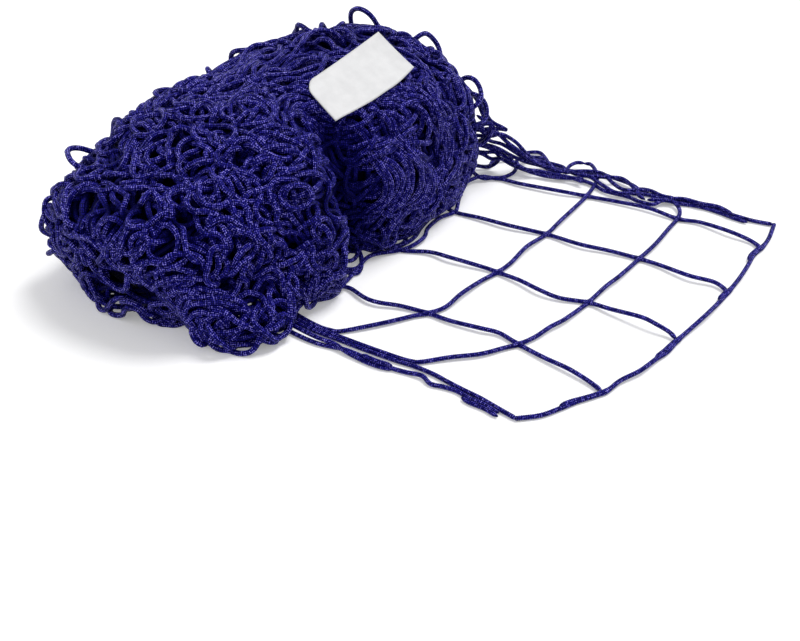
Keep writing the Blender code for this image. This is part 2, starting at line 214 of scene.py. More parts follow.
# Rings of slack cord: place along the roll, angle about it, radius
RINGS = (
    (-0.81, 59, 13), (-0.72, 45, 9), (-0.57, 27, 11), (-0.77, 24, 13), (-0.82, 84, 13), (-0.60, 76, 12),
    (-0.28, 78, 24), (-0.60, 52, 12), (-0.44, 32, 12), (-0.41, 9, 12), (-0.76, 0, 12), (-0.57, -10, 12),
    (-0.46, -3, 15), (-0.66, 12, 11), (-0.44, 92, 16), (0.40, -14, 12), (-0.86, 38, 13), (-0.84, 8, 13),
    (-0.50, 48, 10), (-0.70, 100, 14), (-0.86, 64, 9))
RING_TURNS = 1.5
RING_POINTS = 60
RING_PHASE = 1.7
RING_WIDE = 1.06
RING_NARROWING = 0.16
RING_OVAL = 0.12
RING_LIFT = 1.0
RING_RISE = 3.0
RING_SINK = 14
RING_TUCK = 0.10

# Bights that stand off the roll: where each one's top comes to
BIGHTS = (
    (-120, -197, 124), (-134, -124, 130), (-113, -20, 152), (-106, 8, 159), (-57, 148, 179),
    (31, 174, 152), (80, 184, 108), (-128, -236, 58), (-118, -236, 40), (-107, -95, 153), (-92, 96, 166),
    (42, 190, 124), (100, -208, 3), (84, -219, 3), (113, -192, 3), (72, -224, 3), (108, -131, 4),
    (-147, 60, 90), (-145, -60, 80), (-60, 212, 120), (-100, 203, 60), (80, 198, 84), (84, 206, 58),
    (66, 210, 40), (10, 208, 100), (-20, 60, 178), (-70, -150, 150))
BIGHT_REACH = 5
BIGHT_PULL = 0.10


def bump(t, centre, spread):
    return np.exp(-((t - centre) / spread) ** 2)


def swell(t, form):
    place, spread, size = form
    return size * bump(t, place, spread)


def section(t, front):
    """Half width, rise and drop of the roll at place t along it, front or back."""
    reach = np.minimum(np.abs(t), 0.9999)
    power = np.where(t < 0, reach ** NEAR_END_POWER, reach ** FAR_END_POWER)
    cap = np.maximum(1e-3, 1 - power) ** END_ROUNDING
    dent = bump(t, WAIST_T, WAIST_SPREAD)
    waist = np.where(front, WAIST_FRONT, WAIST_BACK) * dent
    lobe = np.where(front, swell(t, LOBE_FRONT), swell(t, NEAR_BACK))
    half_width = (ROLL_HALF_WIDTH + ROLL_WIDEN * t - waist + lobe) * cap
    crest = ROLL_HEIGHT + ROLL_RISE * t - WAIST_CREST * dent - swell(t, NEAR_DROP)
    rise = (crest - ROLL_WIDEST_Z) * cap
    drop = (ROLL_WIDEST_Z + ROLL_UNDERCUT) * cap
    return half_width, rise, drop


def roll_share(x, half_length):
    """How far out each point lies in the roll's section, 1 on the outline, with the offsets used."""
    t = (x[:, 1] - ROLL_Y) / half_length
    across = x[:, 0] - ROLL_X - ROLL_LEAN * np.clip(t, -END_T, END_T)
    up = x[:, 2] - ROLL_WIDEST_Z
    cut = np.interp(across, NEAR_CUT_ACROSS, NEAR_CUT) * np.clip(1 - x[:, 2] / NEAR_CUT_Z, 0, 1)
    inside = np.clip(t, cut - END_T, END_T)
    half_width, rise, drop = section(inside, across > 0)
    height = np.where(up > 0, rise, drop)
    low = (across > 0) * np.clip(-up / SPILL_Z, 0, 1)
    half_width = half_width + swell(inside, SPILL) * low
    share = (np.abs(across) / half_width) ** SECTION_POWER + (np.abs(up) / height) ** SECTION_POWER
    end_gap = np.minimum(t - cut + END_T, END_T - t)
    return share ** (1 / SECTION_POWER), t, inside, across, up, end_gap


# The net as nodes: joints first, then the nodes of each side of each mesh

def add_chain(joints, count):
    """A chain through a line of joints, with new nodes between them, and the count with these."""
    chain = [joints[0]]
    for joint in joints[1:]:
        chain += list(range(count, count + SEGMENTS - 1)) + [joint]
        count += SEGMENTS - 1
    return np.array(chain), count


def make_chains():
    """The lengthwise and the crosswise chains of nodes, and the number of nodes."""
    joints = np.arange((NET_ROWS + 1) * NET_COLS).reshape(NET_ROWS + 1, NET_COLS)
    count = joints.size
    families = []
    for lines in (joints.T, joints):
        family = []
        for line in lines:
            chain, count = add_chain(line, count)
            family.append(chain)
        families.append(family)
    return families, count


def hop_pairs(chains, hop):
    a = np.concatenate([c[:-hop] for c in chains])
    b = np.concatenate([c[hop:] for c in chains])
    k = np.concatenate([np.arange(len(c) - hop) for c in chains])
    return a, b, k


def pair_groups(families, hop):
    """Pairs of nodes a hop apart, in groups that share no node."""
    groups = []
    for chains in families:
        a, b, k = hop_pairs(chains, hop)
        first = (k % (2 * hop)) < hop
        groups += [(a[first], b[first]), (a[~first], b[~first])]
    return groups


def pair_key(a, b, count):
    return np.minimum(a, b).astype(np.int64) * count + np.maximum(a, b)


def joined_keys(families, count):
    """Keys of the pairs that touch by right: neighbours on a cord, and the arms of a joint."""
    keys = []
    for hop in (1, 2, 3):
        for chains in families:
            a, b, _ = hop_pairs(chains, hop)
            keys.append(pair_key(a, b, count))
    arms = {}
    for chains in families[:2]:
        for chain in chains:
            for j in range(0, len(chain), SEGMENTS):
                near = [chain[j + s] for s in (-3, -2, -1, 1, 2, 3) if 0 <= j + s < len(chain)]
                arms.setdefault(chain[j], []).extend(near)
    for near in arms.values():
        near = np.array(near)
        i, j = np.triu_indices(len(near), 1)
        keys.append(pair_key(near[i], near[j], count))
    return np.unique(np.concatenate(keys))


def close_pairs(x, reach, joined):
    """Pairs of nodes nearer than reach, found on a grid."""
    count = len(x)
    cell = ((x - x.min(0)) / reach).astype(np.int64) + 1
    size = cell.max(0) + 2
    key = (cell[:, 0] * size[1] + cell[:, 1]) * size[2] + cell[:, 2]
    order = np.argsort(key, kind="stable")
    key = key[order]
    around = (-1, 0, 1)
    steps = [(i, j, k) for i in around for j in around for k in around if (i, j, k) >= (0, 0, 0)]
    firsts = []
    seconds = []
    for i, j, k in steps:
        wanted = key + (i * size[1] + j) * size[2] + k
        low = np.searchsorted(key, wanted, "left")
        high = np.searchsorted(key, wanted, "right")
        if (i, j, k) == (0, 0, 0):
            low = np.arange(count) + 1
        number = np.maximum(high - low, 0)
        total = int(number.sum())
        a = np.repeat(np.arange(count), number)
        b = np.repeat(low - np.concatenate([[0], np.cumsum(number)[:-1]]), number) + np.arange(total)
        a = order[a]
        b = order[b]
        near = ((x[a] - x[b]) ** 2).sum(1) < reach * reach
        firsts.append(a[near])
        seconds.append(b[near])
    a = np.concatenate(firsts)
    b = np.concatenate(seconds)
    keys = pair_key(a, b, count)
    found = np.searchsorted(joined, keys)
    found[found == len(joined)] = 0
    free = joined[found] != keys
    return a[free], b[free]


def wander(p, q, wave, loose=1.0):
    """A smooth seeded wave over the net, smaller where the net is less loose."""
    size, along, across, seed, number, shortest, longest = wave
    place = along * p + across * q
    rng = np.random.default_rng(seed)
    out = np.zeros_like(place)
    for _ in range(number):
        length = rng.uniform(shortest, longest)
        out += np.sin(2 * np.pi * place / length + rng.uniform(0, PHASES))
    return size * loose * (out / math.sqrt(number))


def ripple(x, scale, size, seed):
    """A smooth seeded offset in space."""
    rng = np.random.default_rng(seed)
    out = np.zeros_like(x)
    for _ in range(RIPPLE_WAVES):
        waves = rng.normal(size=(3, 3)) / scale
        out += np.sin(x @ waves + rng.uniform(0, PHASES, 3))
    return out * size / RIPPLE_NORM


def signed_power(value, power):
    return np.sign(value) * np.abs(value) ** power


def section_at(t, angle):
    """Unit offsets across and up at an angle about the roll, with the section's sizes there."""
    across = signed_power(np.cos(angle), 2 / SECTION_POWER)
    up = signed_power(np.sin(angle), 2 / SECTION_POWER)
    return (across, up) + section(t, across > 0)


def start_roll(p, q):
    """The net loosely rolled: p is the place along the net, q the place across it."""
    places = np.linspace(0, NET_ROWS * MESH_SIDE, WIND_PLACES)
    depth = 1 - (1 - INNER_TURN) * places / places[-1]
    turns = WIND_SLACK * np.diff(places) / (ROLL_PERIMETER * depth[:-1])
    turned = np.concatenate([[0], np.cumsum(turns)])
    angle = np.interp(p, places, turned) * 2 * np.pi
    share = np.interp(p, places, depth)
    u = q / (MESH_SIDE * (NET_COLS - 1)) * 2 - 1
    loose = 1 - np.exp(-p / LOOSE_OVER)
    t = u * (START_SPREAD + wander(p, q, SPREAD_WAVE)) + wander(p, q, SHIFT_WAVE, loose)
    t = np.clip(t + wander(p, q, SKEW_WAVE, loose), -START_END_T, START_END_T)
    sway = LEAN_SWAY * t + wander(p, q, CROSS_WAVE) + wander(p, q, SLANT_WAVE)
    angle = START_ANGLE - angle + loose * sway
    end = np.clip((np.abs(t) - CLOSED_FROM) / CLOSED_OVER, 0, 1) ** 2
    inner = 1 - (1 - share) / (1 - INNER_TURN)
    share = share + (CLOSED_SHARE + (1 - CLOSED_SHARE) * inner - share) * end
    share = np.clip(share + wander(p, q, DEPTH_WAVE, loose), LEAST_SHARE, 1)
    across, up, half_width, rise, drop = section_at(t, angle)
    low_z = np.maximum(ROLL_WIDEST_Z + drop * up, START_LOWEST_Z)
    edge_z = np.where(up > 0, ROLL_WIDEST_Z + rise * up, low_z)
    x = ROLL_X + ROLL_LEAN * t + half_width * across * share
    z = START_MIDDLE_Z + (edge_z - START_MIDDLE_Z) * share
    return np.stack([x, ROLL_Y + START_HALF_LENGTH * t, z], 1), t


def on_roll(t, angle, share, lowest=CORD_R):
    """Points on the roll at place t and an angle about its length, 1 being on its outline."""
    across, up, half_width, rise, drop = section_at(t, angle)
    z = ROLL_WIDEST_Z + np.where(up > 0, rise, drop) * up * share
    x = ROLL_X + ROLL_LEAN * t + half_width * across * share
    return np.stack([x, ROLL_Y + ROLL_HALF_LENGTH * t, np.maximum(z, lowest)], -1)


def end_tuck(s, reach):
    """1 at both ends of a cord, falling to 0 within reach of them."""
    return np.maximum(0, 1 - np.minimum(s, 1 - s) / reach)


def lay_strand(t, degrees):
    """A long cord laid on the roll, with its ends tucked in."""
    tuck = end_tuck(np.linspace(0, 1, len(t)), STRAND_TUCK)
    return smooth_route(on_roll(t, np.radians(degrees), 1 - STRAND_SINK * tuck), SEGMENT)


def crest_strands():
    """Long cords drawn tight over the crest of the roll."""
    rng = np.random.default_rng(CREST_SEED)
    s = np.linspace(0, 1, STRAND_POINTS)
    strands = []
    for i in range(CREST_CORDS):
        begin = rng.uniform(*CREST_BEGIN)
        end = min(CREST_END, begin + rng.uniform(*CREST_SPAN))
        angle = CREST_FROM + (CREST_TO - CREST_FROM) * (i + rng.uniform(-1, 1)) / CREST_CORDS
        drift = rng.uniform(-CREST_DRIFT, CREST_DRIFT)
        phase = rng.uniform(0, PHASES)
        sway = CREST_SWAY * np.sin(phase + s * rng.uniform(*CREST_SWAY_WAVES))
        strands.append(lay_strand(begin + (end - begin) * s, angle + drift * (s - 0.5) + sway))
    return strands


def wrap_strands():
    """Cords that come off the crest and hang in arcs down the front of the far lobe."""
    rng = np.random.default_rng(WRAP_SEED)
    s = np.linspace(0, 1, STRAND_POINTS) * np.pi / 2
    strands = []
    for i in range(WRAP_CORDS):
        end = WRAP_FROM + (WRAP_TO - WRAP_FROM) * (i + rng.uniform(0, 1)) / WRAP_CORDS
        sweep = rng.uniform(*WRAP_SWEEP)
        top = rng.uniform(*WRAP_TOP)
        foot = rng.uniform(*WRAP_FOOT)
        sway = WRAP_SWAY * np.sin(rng.uniform(0, PHASES) + s * rng.uniform(*WRAP_SWAY_WAVES))
        degrees = top + (foot - top) * (1 - np.cos(s)) + sway
        strands.append(lay_strand(end - sweep + sweep * np.sin(s), degrees))
    return strands


def crossing_strands():
    """The few long cords that cross the near lobe side by side."""
    strands = []
    for route in CROSSINGS:
        t, degrees = np.array(route).T
        s = np.linspace(0, len(t) - 1, STRAND_POINTS)
        places = np.arange(len(t))
        for k in range(CROSSING_CORDS):
            shift = CROSSING_GAP * (k - 1)
            strands.append(lay_strand(np.interp(s, places, t), np.interp(s, places, degrees) + shift))
    return strands


def ring_strands():
    """Slack cords that lie on the roll in rings."""
    strands = []
    s = np.linspace(0, 1, RING_POINTS)
    for k, (t, degrees, radius) in enumerate(RINGS):
        t = np.array([t, t - 0.01, t + 0.01, t, t])
        angle = np.radians(degrees + np.array([0, 0, 0, -1, 1]))
        centre, before, after, below, above = on_roll(t, angle, 1.0)
        along = (after - before) / np.linalg.norm(after - before)
        around = above - below - along * along.dot(above - below)
        around /= np.linalg.norm(around)
        out = np.cross(around, along)
        out *= np.sign(out.dot(centre - (ROLL_X, centre[1], ROLL_WIDEST_Z)))
        turn = 2 * np.pi * RING_TURNS * s + RING_PHASE * k
        reach = radius * (RING_WIDE - RING_NARROWING * s) * (1 + RING_OVAL * np.sin(2 * turn + k))
        lift = RING_LIFT + RING_RISE * s - RING_SINK * end_tuck(s, RING_TUCK)
        route = centre + np.outer(reach * np.cos(turn), along) + np.outer(reach * np.sin(turn), around)
        strands.append(smooth_route(route + np.outer(lift, out), SEGMENT))
    return strands


def number_strands(strands, first_node):
    """Chains of node numbers for strands of points, counted on from the first node."""
    chains = []
    for points in strands:
        chains.append(np.arange(first_node, first_node + len(points)))
        first_node += len(points)
    return chains, first_node


def pick_bights(x, chains):
    """For each bight the run of cord nearest to it, away from the joints."""
    runs = []
    for place in BIGHTS:
        best = None
        for chain in chains:
            for k in range(SEGMENTS // 2, len(chain) - BIGHT_REACH, SEGMENTS):
                off = x[chain[k]] - place
                distance = off.dot(off)
                if best is None or distance < best[0]:
                    best = (distance, chain[k - BIGHT_REACH:k + BIGHT_REACH + 1])
        runs.append(best[1])
    return runs


def pull_bights(x, runs):
    """Draws each bight's run of cord out towards its place."""
    ease = 1 - (np.abs(np.arange(-BIGHT_REACH, BIGHT_REACH + 1)) / (BIGHT_REACH + 1)) ** 2
    for place, run in zip(BIGHTS, runs):
        pull = BIGHT_PULL * (np.array(place) - x[run[BIGHT_REACH]])
        x[run] += ease[:, None] * pull


def pull_lengths(x, groups, rest, stiffness, shorter_only=False):
    """Brings pairs of nodes to their distance, or only those that are nearer than it."""
    for a, b in groups:
        d = x[b] - x[a]
        length = np.sqrt((d * d).sum(1)) + 1e-9
        off = length - rest
        if shorter_only:
            off = np.minimum(off, 0)
        d *= (0.5 * stiffness * off / length)[:, None]
        x[a] += d
        x[b] -= d


def push_apart(x, a, b):
    """Parts nodes that are nearer than a cord's thickness."""
    d = x[a] - x[b]
    length = np.sqrt((d * d).sum(1)) + 1e-9
    near = length < CORD_D
    a = a[near]
    b = b[near]
    d = d[near] * (PUSH * (CORD_D - length[near]) / length[near])[:, None]
    for k in range(3):
        x[:, k] += np.bincount(a, d[:, k], len(x)) - np.bincount(b, d[:, k], len(x))


def label_axes():
    """The label's place in the frame: its sewn edge's middle, and its along, down and out directions."""
    hinge = next(j for j in frame["joints"] if j["name"] == "label_lift")
    mesh = frame["nodes"]["label"].data
    face = max(mesh.polygons, key=lambda f: f.area)
    out = Vector(face.normal)
    if out.z < 0:
        out = -out
    along = -Vector(hinge["axis"]).normalized()
    out = (out - along * along.dot(out)).normalized()
    down = along.cross(out)
    return Vector(hinge["pos_m"]), along, down, out


def hold(x, loose, half_length, stiffness, label):
    """Keeps the nodes in the roll, off its hollow core, above the floor and under the label."""
    share, t, inside, across, up, _ = roll_share(x, half_length)
    lumps = 1.0
    for k, (wave, phase) in enumerate(LUMPS):
        lumps = lumps * np.sin(x[:, k] * wave + phase)
    limit = np.where(loose, LOOSE_LIMIT, 1 + LUMP_SIZE * lumps)
    scale = np.where(share > limit, limit / np.maximum(share, 1e-6), 1.0) - 1
    x[:, 0] += stiffness * across * scale
    x[:, 2] += stiffness * up * scale
    x[:, 1] += stiffness * (ROLL_Y + half_length * inside - x[:, 1]) * ~loose
    core = CORE_SHARE * np.maximum(0, 1 - np.abs(t / CORE_END_T) ** CORE_END_POWER) ** 0.5
    stretch = np.minimum(core / np.maximum(share, 1e-3), CORE_STRETCH)
    scale = np.where(share < core, stretch, 1.0) - 1
    x[:, 0] += CORE_PUSH * across * scale
    x[:, 2] += CORE_PUSH * up * scale
    edge, along, down, out = label
    offset = x - edge
    a = offset @ along
    d = offset @ down
    o = offset @ out
    first, last = UNDER_LABEL_DOWN
    under = (np.abs(a) < UNDER_LABEL_ALONG) & (d > first) & (d < last)
    under &= (o > -CORD_R - LABEL_GAP) & (o < UNDER_LABEL_OUT)
    x -= np.outer(np.where(under, o + CORD_R + LABEL_GAP, 0.0), out)
    np.maximum(x[:, 2], CORD_R, out=x[:, 2])


def net_places(lengthwise, crosswise, count):
    """Each node's place along and across the flat net."""
    p = np.zeros(count)
    q = np.zeros(count)
    for col, chain in enumerate(lengthwise):
        p[chain] = np.arange(len(chain)) * SEGMENT
        q[chain] = col * MESH_SIDE
    for row, chain in enumerate(crosswise):
        p[chain] = row * MESH_SIDE
        q[chain] = np.arange(len(chain)) * SEGMENT
    return p, q


def roll_up_net():
    """The rolled net at rest: node places in millimetres, and the chains of nodes along its cords."""
    (lengthwise, crosswise), count = make_chains()
    x, t = start_roll(*net_places(lengthwise, crosswise, count))
    laid = crest_strands() + wrap_strands() + crossing_strands()
    ringed = ring_strands()
    strands, total = number_strands(laid, count)
    rings, total = number_strands(ringed, total)
    x = np.vstack([x + ripple(x, *COARSE_RIPPLE) + ripple(x, *FINE_RIPPLE)] + laid + ringed)
    families = (lengthwise, crosswise, strands, rings)
    loose = settle(x, t, families)
    return x, lengthwise + crosswise + strands + rings, loose


def settle(x, t, families):
    """Gathers the roll, pulls out its bights and lets it settle in place; says which nodes are loose."""
    lengthwise, crosswise, strands, rings = families
    count = len(t)
    edges = pair_groups(families, 1)
    bends = pair_groups(families[:3], 2)
    arcs = [(pair_groups(families[:2], hop), chord, stiffness) for hop, chord, stiffness in BEND_CHORDS]
    strand_arcs = pair_groups((strands,), STRAND_HOP)
    ring_arcs = pair_groups((rings,), 2) + pair_groups((rings,), 4)
    ring_chords = [np.linalg.norm(x[b] - x[a], axis=1) for a, b in ring_arcs]
    joined = joined_keys(families, len(x))
    edge, along, down, out = label_axes()
    label = (np.array(edge) / MM, np.array(along), np.array(down), np.array(out))
    gathered = np.interp(t, GATHER_FROM, GATHER_TO)
    loose = np.zeros(len(x), bool)
    bights = None
    before = x.copy()
    last_y = START_HALF_LENGTH * t
    for step in range(STEPS):
        f = min(1.0, step / (GATHERED * STEPS))
        f = f * f * (3 - 2 * f)
        half_length = START_HALF_LENGTH + (ROLL_HALF_LENGTH - START_HALF_LENGTH) * f
        now_y = (1 - f) * START_HALF_LENGTH * t + f * ROLL_HALF_LENGTH * gathered
        x[:count, 1] += now_y - last_y
        before[:count, 1] += now_y - last_y
        last_y = now_y
        speed = np.clip(x - before, -MAX_SPEED, MAX_SPEED) * DAMPING
        before = x.copy()
        x += speed
        x[:, 2] -= GRAVITY
        if step % SEARCH_EVERY == 0:
            near_a, near_b = close_pairs(x, SEARCH_REACH, joined)
        if bights is None and step > BIGHTS_FROM * STEPS:
            bights = pick_bights(x, lengthwise + crosswise)
            loose[np.concatenate(bights)] = True
        for _ in range(SUBSTEPS):
            if bights is not None and step < BIGHTS_UNTIL * STEPS:
                pull_bights(x, bights)
            for groups, chord, stiffness in arcs:
                pull_lengths(x, groups, chord, stiffness, shorter_only=True)
            pull_lengths(x, strand_arcs, STRAND_CHORD, STRAND_STIFFNESS, shorter_only=True)
            for group, chord in zip(ring_arcs, ring_chords):
                pull_lengths(x, [group], chord, RING_STIFFNESS)
            pull_lengths(x, bends, 2 * SEGMENT, BEND)
            pull_lengths(x, edges, SEGMENT, 1.0)
            push_apart(x, near_a, near_b)
            hold(x, loose, half_length, HOLD if step < SETTLES_FROM * STEPS else HOLD_AT_END, label)
    return loose


# Tubes

ROUTE_DENSITY = 24


def lengths_along(points):
    """How far along a route each of its points lies."""
    return np.concatenate([[0], np.cumsum(np.linalg.norm(np.diff(points, axis=0), axis=1))])


def smooth_route(points, step):
    """Points at an even step along a smooth curve through the route's own points."""
    route = np.array(points, float)
    padded = np.vstack([2 * route[0] - route[1], route, 2 * route[-1] - route[-2]])
    s = np.linspace(0, 1, ROUTE_DENSITY, endpoint=False)[:, None]
    dense = []
    for i in range(1, len(padded) - 2):
        before, start, end, after = padded[i - 1:i + 3]
        dense.append(0.5 * (2 * start + (end - before) * s
                            + (2 * before - 5 * start + 4 * end - after) * s ** 2
                            + (3 * start - before - 3 * end + after) * s ** 3))
    dense = np.vstack(dense + [route[-1:]])
    lengths = lengths_along(dense)
    count = max(2, int(round(lengths[-1] / step)) + 1)
    places = np.linspace(0, lengths[-1], count)
    return np.stack([np.interp(places, lengths, dense[:, k]) for k in range(3)], axis=1)


def ring_axes(points):
    """Two directions across a tube at each of its points, carried along without twist."""
    tangents = np.gradient(points, axis=0)
    tangents /= np.linalg.norm(tangents, axis=1)[:, None] + 1e-12
    side = np.cross(tangents[0], (0.0, 0.0, 1.0))
    if np.linalg.norm(side) < 0.1:
        side = np.cross(tangents[0], (1.0, 0.0, 0.0))
    sides = np.empty_like(points)
    for i, tangent in enumerate(tangents):
        side = side - tangent * side.dot(tangent)
        side = side / math.sqrt(side.dot(side))
        sides[i] = side
    return sides, np.cross(tangents, sides)


def add_tube(tubes, points, sides, depth=1.0, relief=0.0, radius=CORD_R, start=0.0):
    """Adds a round tube along points (millimetres) to the lists of a mesh."""
    n = len(points)
    a, b = ring_axes(points)
    place = start + lengths_along(points)
    u = np.arange(sides) / sides
    turn = 2 * np.pi * u
    scale = np.ones((n, sides))
    if relief:
        ribs = np.cos(2 * np.pi * (2 * u[None] + place[:, None] / BRAID_PITCH))
        scale += relief * ribs
    scale = scale * np.broadcast_to(radius, n)[:, None]
    rings = points[:, None] + scale[..., None] * (
        a[:, None] * np.cos(turn)[None, :, None] + b[:, None] * np.sin(turn)[None, :, None])
    base = tubes["count"]
    index = base + np.arange(n * sides).reshape(n, sides)
    following = np.roll(index, -1, axis=1)
    quads = np.stack([index[:-1], following[:-1], following[1:], index[1:]], -1).reshape(-1, 4)
    left = np.broadcast_to(u, (n - 1, sides))
    right = left + 1 / sides
    low = np.broadcast_to(place[:-1, None], (n - 1, sides))
    high = np.broadcast_to(place[1:, None], (n - 1, sides))
    corners = np.stack([np.stack([left, low], -1), np.stack([right, low], -1),
                        np.stack([right, high], -1), np.stack([left, high], -1)], 2)
    tubes["points"].append(rings.reshape(-1, 3))
    tubes["quads"].append(quads)
    # The depth list holds each point's openness to the light, which the material paints on as shade
    tubes["depth"].append(np.repeat(np.broadcast_to(depth, n), sides))
    tubes["uv"].append(corners.reshape(-1, 2))
    tubes["caps"] += [index[0][::-1], index[-1]]
    tubes["count"] += n * sides


def new_tubes():
    return {"points": [], "quads": [], "uv": [], "caps": [], "depth": [], "count": 0}


def new_object(name, data):
    obj = bpy.data.objects.new(name, data)
    bpy.context.scene.collection.objects.link(obj)
    return obj


def mesh_object(name, points, faces, uv_name, uv, material):
    """A smooth mesh object with a UV map that is given by point."""
    mesh = bpy.data.meshes.new(name)
    mesh.from_pydata(points, [], faces)
    layer = mesh.uv_layers.new(name=uv_name)
    for loop in mesh.loops:
        layer.data[loop.index].uv = uv[loop.vertex_index]
    mesh.shade_smooth()
    mesh.materials.append(material)
    return new_object(name, mesh)


def add_openness(mesh, values):
    """Says at each point how open it lies to the light, which its material paints on as shade."""
    light = mesh.attributes.new("openness", "FLOAT", "POINT")
    light.data.foreach_set("value", values.astype(np.float32))


def tube_object(name, tubes, material):
    """One mesh object from the tubes, with its braid coordinates in a UV map."""
    points = np.vstack(tubes["points"]) * MM
    quads = np.vstack(tubes["quads"])
    uv = np.vstack(tubes["uv"])
    caps = tubes["caps"]
    sizes = np.concatenate([np.full(len(quads), 4), [len(c) for c in caps]]).astype(np.int32)
    corners = np.concatenate([quads.reshape(-1)] + list(caps)).astype(np.int32)
    starts = np.concatenate([[0], np.cumsum(sizes)[:-1]]).astype(np.int32)
    mesh = bpy.data.meshes.new(name)
    mesh.vertices.add(len(points))
    mesh.vertices.foreach_set("co", points.astype(np.float32).ravel())
    mesh.loops.add(len(corners))
    mesh.loops.foreach_set("vertex_index", corners)
    mesh.polygons.add(len(sizes))
    mesh.polygons.foreach_set("loop_start", starts)
    mesh.polygons.foreach_set("loop_total", sizes)
    layer = mesh.uv_layers.new(name="braid")
    scaled = np.full((len(corners), 2), (0.5 / BRAID_LOBES, 0.5 * UV_PER_MM * BRAID_PITCH), np.float32)
    scaled[:len(uv)] = uv * (1.0, UV_PER_MM)
    layer.data.foreach_set("uv", scaled.ravel())
    add_openness(mesh, np.concatenate(tubes["depth"]))
    mesh.update(calc_edges=True)
    mesh.validate()
    mesh.shade_smooth()
    mesh.materials.append(material)
    return new_object(name, mesh)


# Materials: noises as scale and detail, reliefs as strength and distance

DYE_NOISE = (55.0, 3.0)
FUZZ_NOISE = (1400.0, 2.0)
# Painted glints on the braid's crests: the random share of bright picks, their strength and their
# sharpness
BRIGHT_POWER = 2.0
BRIGHT_GAIN = 1.02
BRIGHT_BASE = 0.225
GLINT_POWER = 1.2
FUZZ_TONE = 0.22
DYE_TONE = 0.24
TONE_DROP = 0.20
FUZZ_ROUGH = 0.25
CORD_ROUGH = 0.38
CORD_SPECULAR = 0.16
CORD_TINT = (0.30, 0.27, 1.0, 1.0)
CORD_RELIEF = (0.9, 0.0006)
FUZZ_RELIEF = 0.35
# Cord colours by tone: the darkest are painted shade, the lightest are painted glints
CORD_TONES = ((0.08, (0.0006, 0.0006, 0.042)), (0.34, (0.0035, 0.0028, 0.185)),
              (0.60, (0.070, 0.060, 0.560)), (0.95, (0.500, 0.450, 1.000)))
# Shaded copy of the cord colours: painted shade, for the mass of inner turns
SHADE_TONES = ((0.16, (0.001, 0.001, 0.010)), (0.46, (0.003, 0.002, 0.026)),
               (0.90, (0.006, 0.004, 0.046)))

WEAVE_PITCH = 0.45
WEAVE_TONE = 0.12
LABEL_NOISE = (90.0, 4.0)
LABEL_TONES = ((0.2, (0.66, 0.66, 0.67)), (0.8, (0.78, 0.78, 0.79)))
LABEL_ROUGH = 0.42
LABEL_SHEEN = 0.2
LABEL_RELIEF = (0.25, 0.0001)


def new_material(name):
    material = bpy.data.materials.new(name)
    material.use_nodes = True
    return material, material.node_tree, material.node_tree.nodes["Principled BSDF"]


def set_inputs(tree, node, inputs):
    """Sets a node's inputs from values or from the outputs of other nodes."""
    for name, value in inputs.items():
        if isinstance(value, bpy.types.NodeSocket):
            tree.links.new(value, node.inputs[name])
        else:
            node.inputs[name].default_value = value


def math_node(tree, operation, *values):
    node = tree.nodes.new("ShaderNodeMath")
    node.operation = operation
    set_inputs(tree, node, dict(enumerate(values)))
    return node.outputs[0]


def scaled_node(tree, value, gain, base):
    """The value times a gain, added to a base."""
    return math_node(tree, "ADD", math_node(tree, "MULTIPLY", value, gain), base)


def ramp_node(tree, value, stops):
    node = tree.nodes.new("ShaderNodeValToRGB")
    ramp = node.color_ramp
    while len(ramp.elements) < len(stops):
        ramp.elements.new(0.5)
    for element, (place, colour) in zip(ramp.elements, stops):
        element.position = place
        element.color = (*colour, 1.0)
    tree.links.new(value, node.inputs[0])
    return node.outputs[0]


def split_uv(tree, name):
    """The two coordinates of a UV map."""
    uv = tree.nodes.new("ShaderNodeUVMap")
    uv.uv_map = name
    split = tree.nodes.new("ShaderNodeSeparateXYZ")
    tree.links.new(uv.outputs[0], split.inputs[0])
    return split.outputs[0], split.outputs[1]


def noise_node(tree, scale, detail):
    """Noise in the object's own space."""
    place = tree.nodes.new("ShaderNodeTexCoord").outputs["Object"]
    noise = tree.nodes.new("ShaderNodeTexNoise")
    set_inputs(tree, noise, {"Vector": place, "Scale": scale, "Detail": detail})
    return noise.outputs["Fac"]


def relief_node(tree, height, strength, distance):
    relief = tree.nodes.new("ShaderNodeBump")
    set_inputs(tree, relief, {"Height": height, "Strength": strength, "Distance": distance})
    return relief.outputs["Normal"]


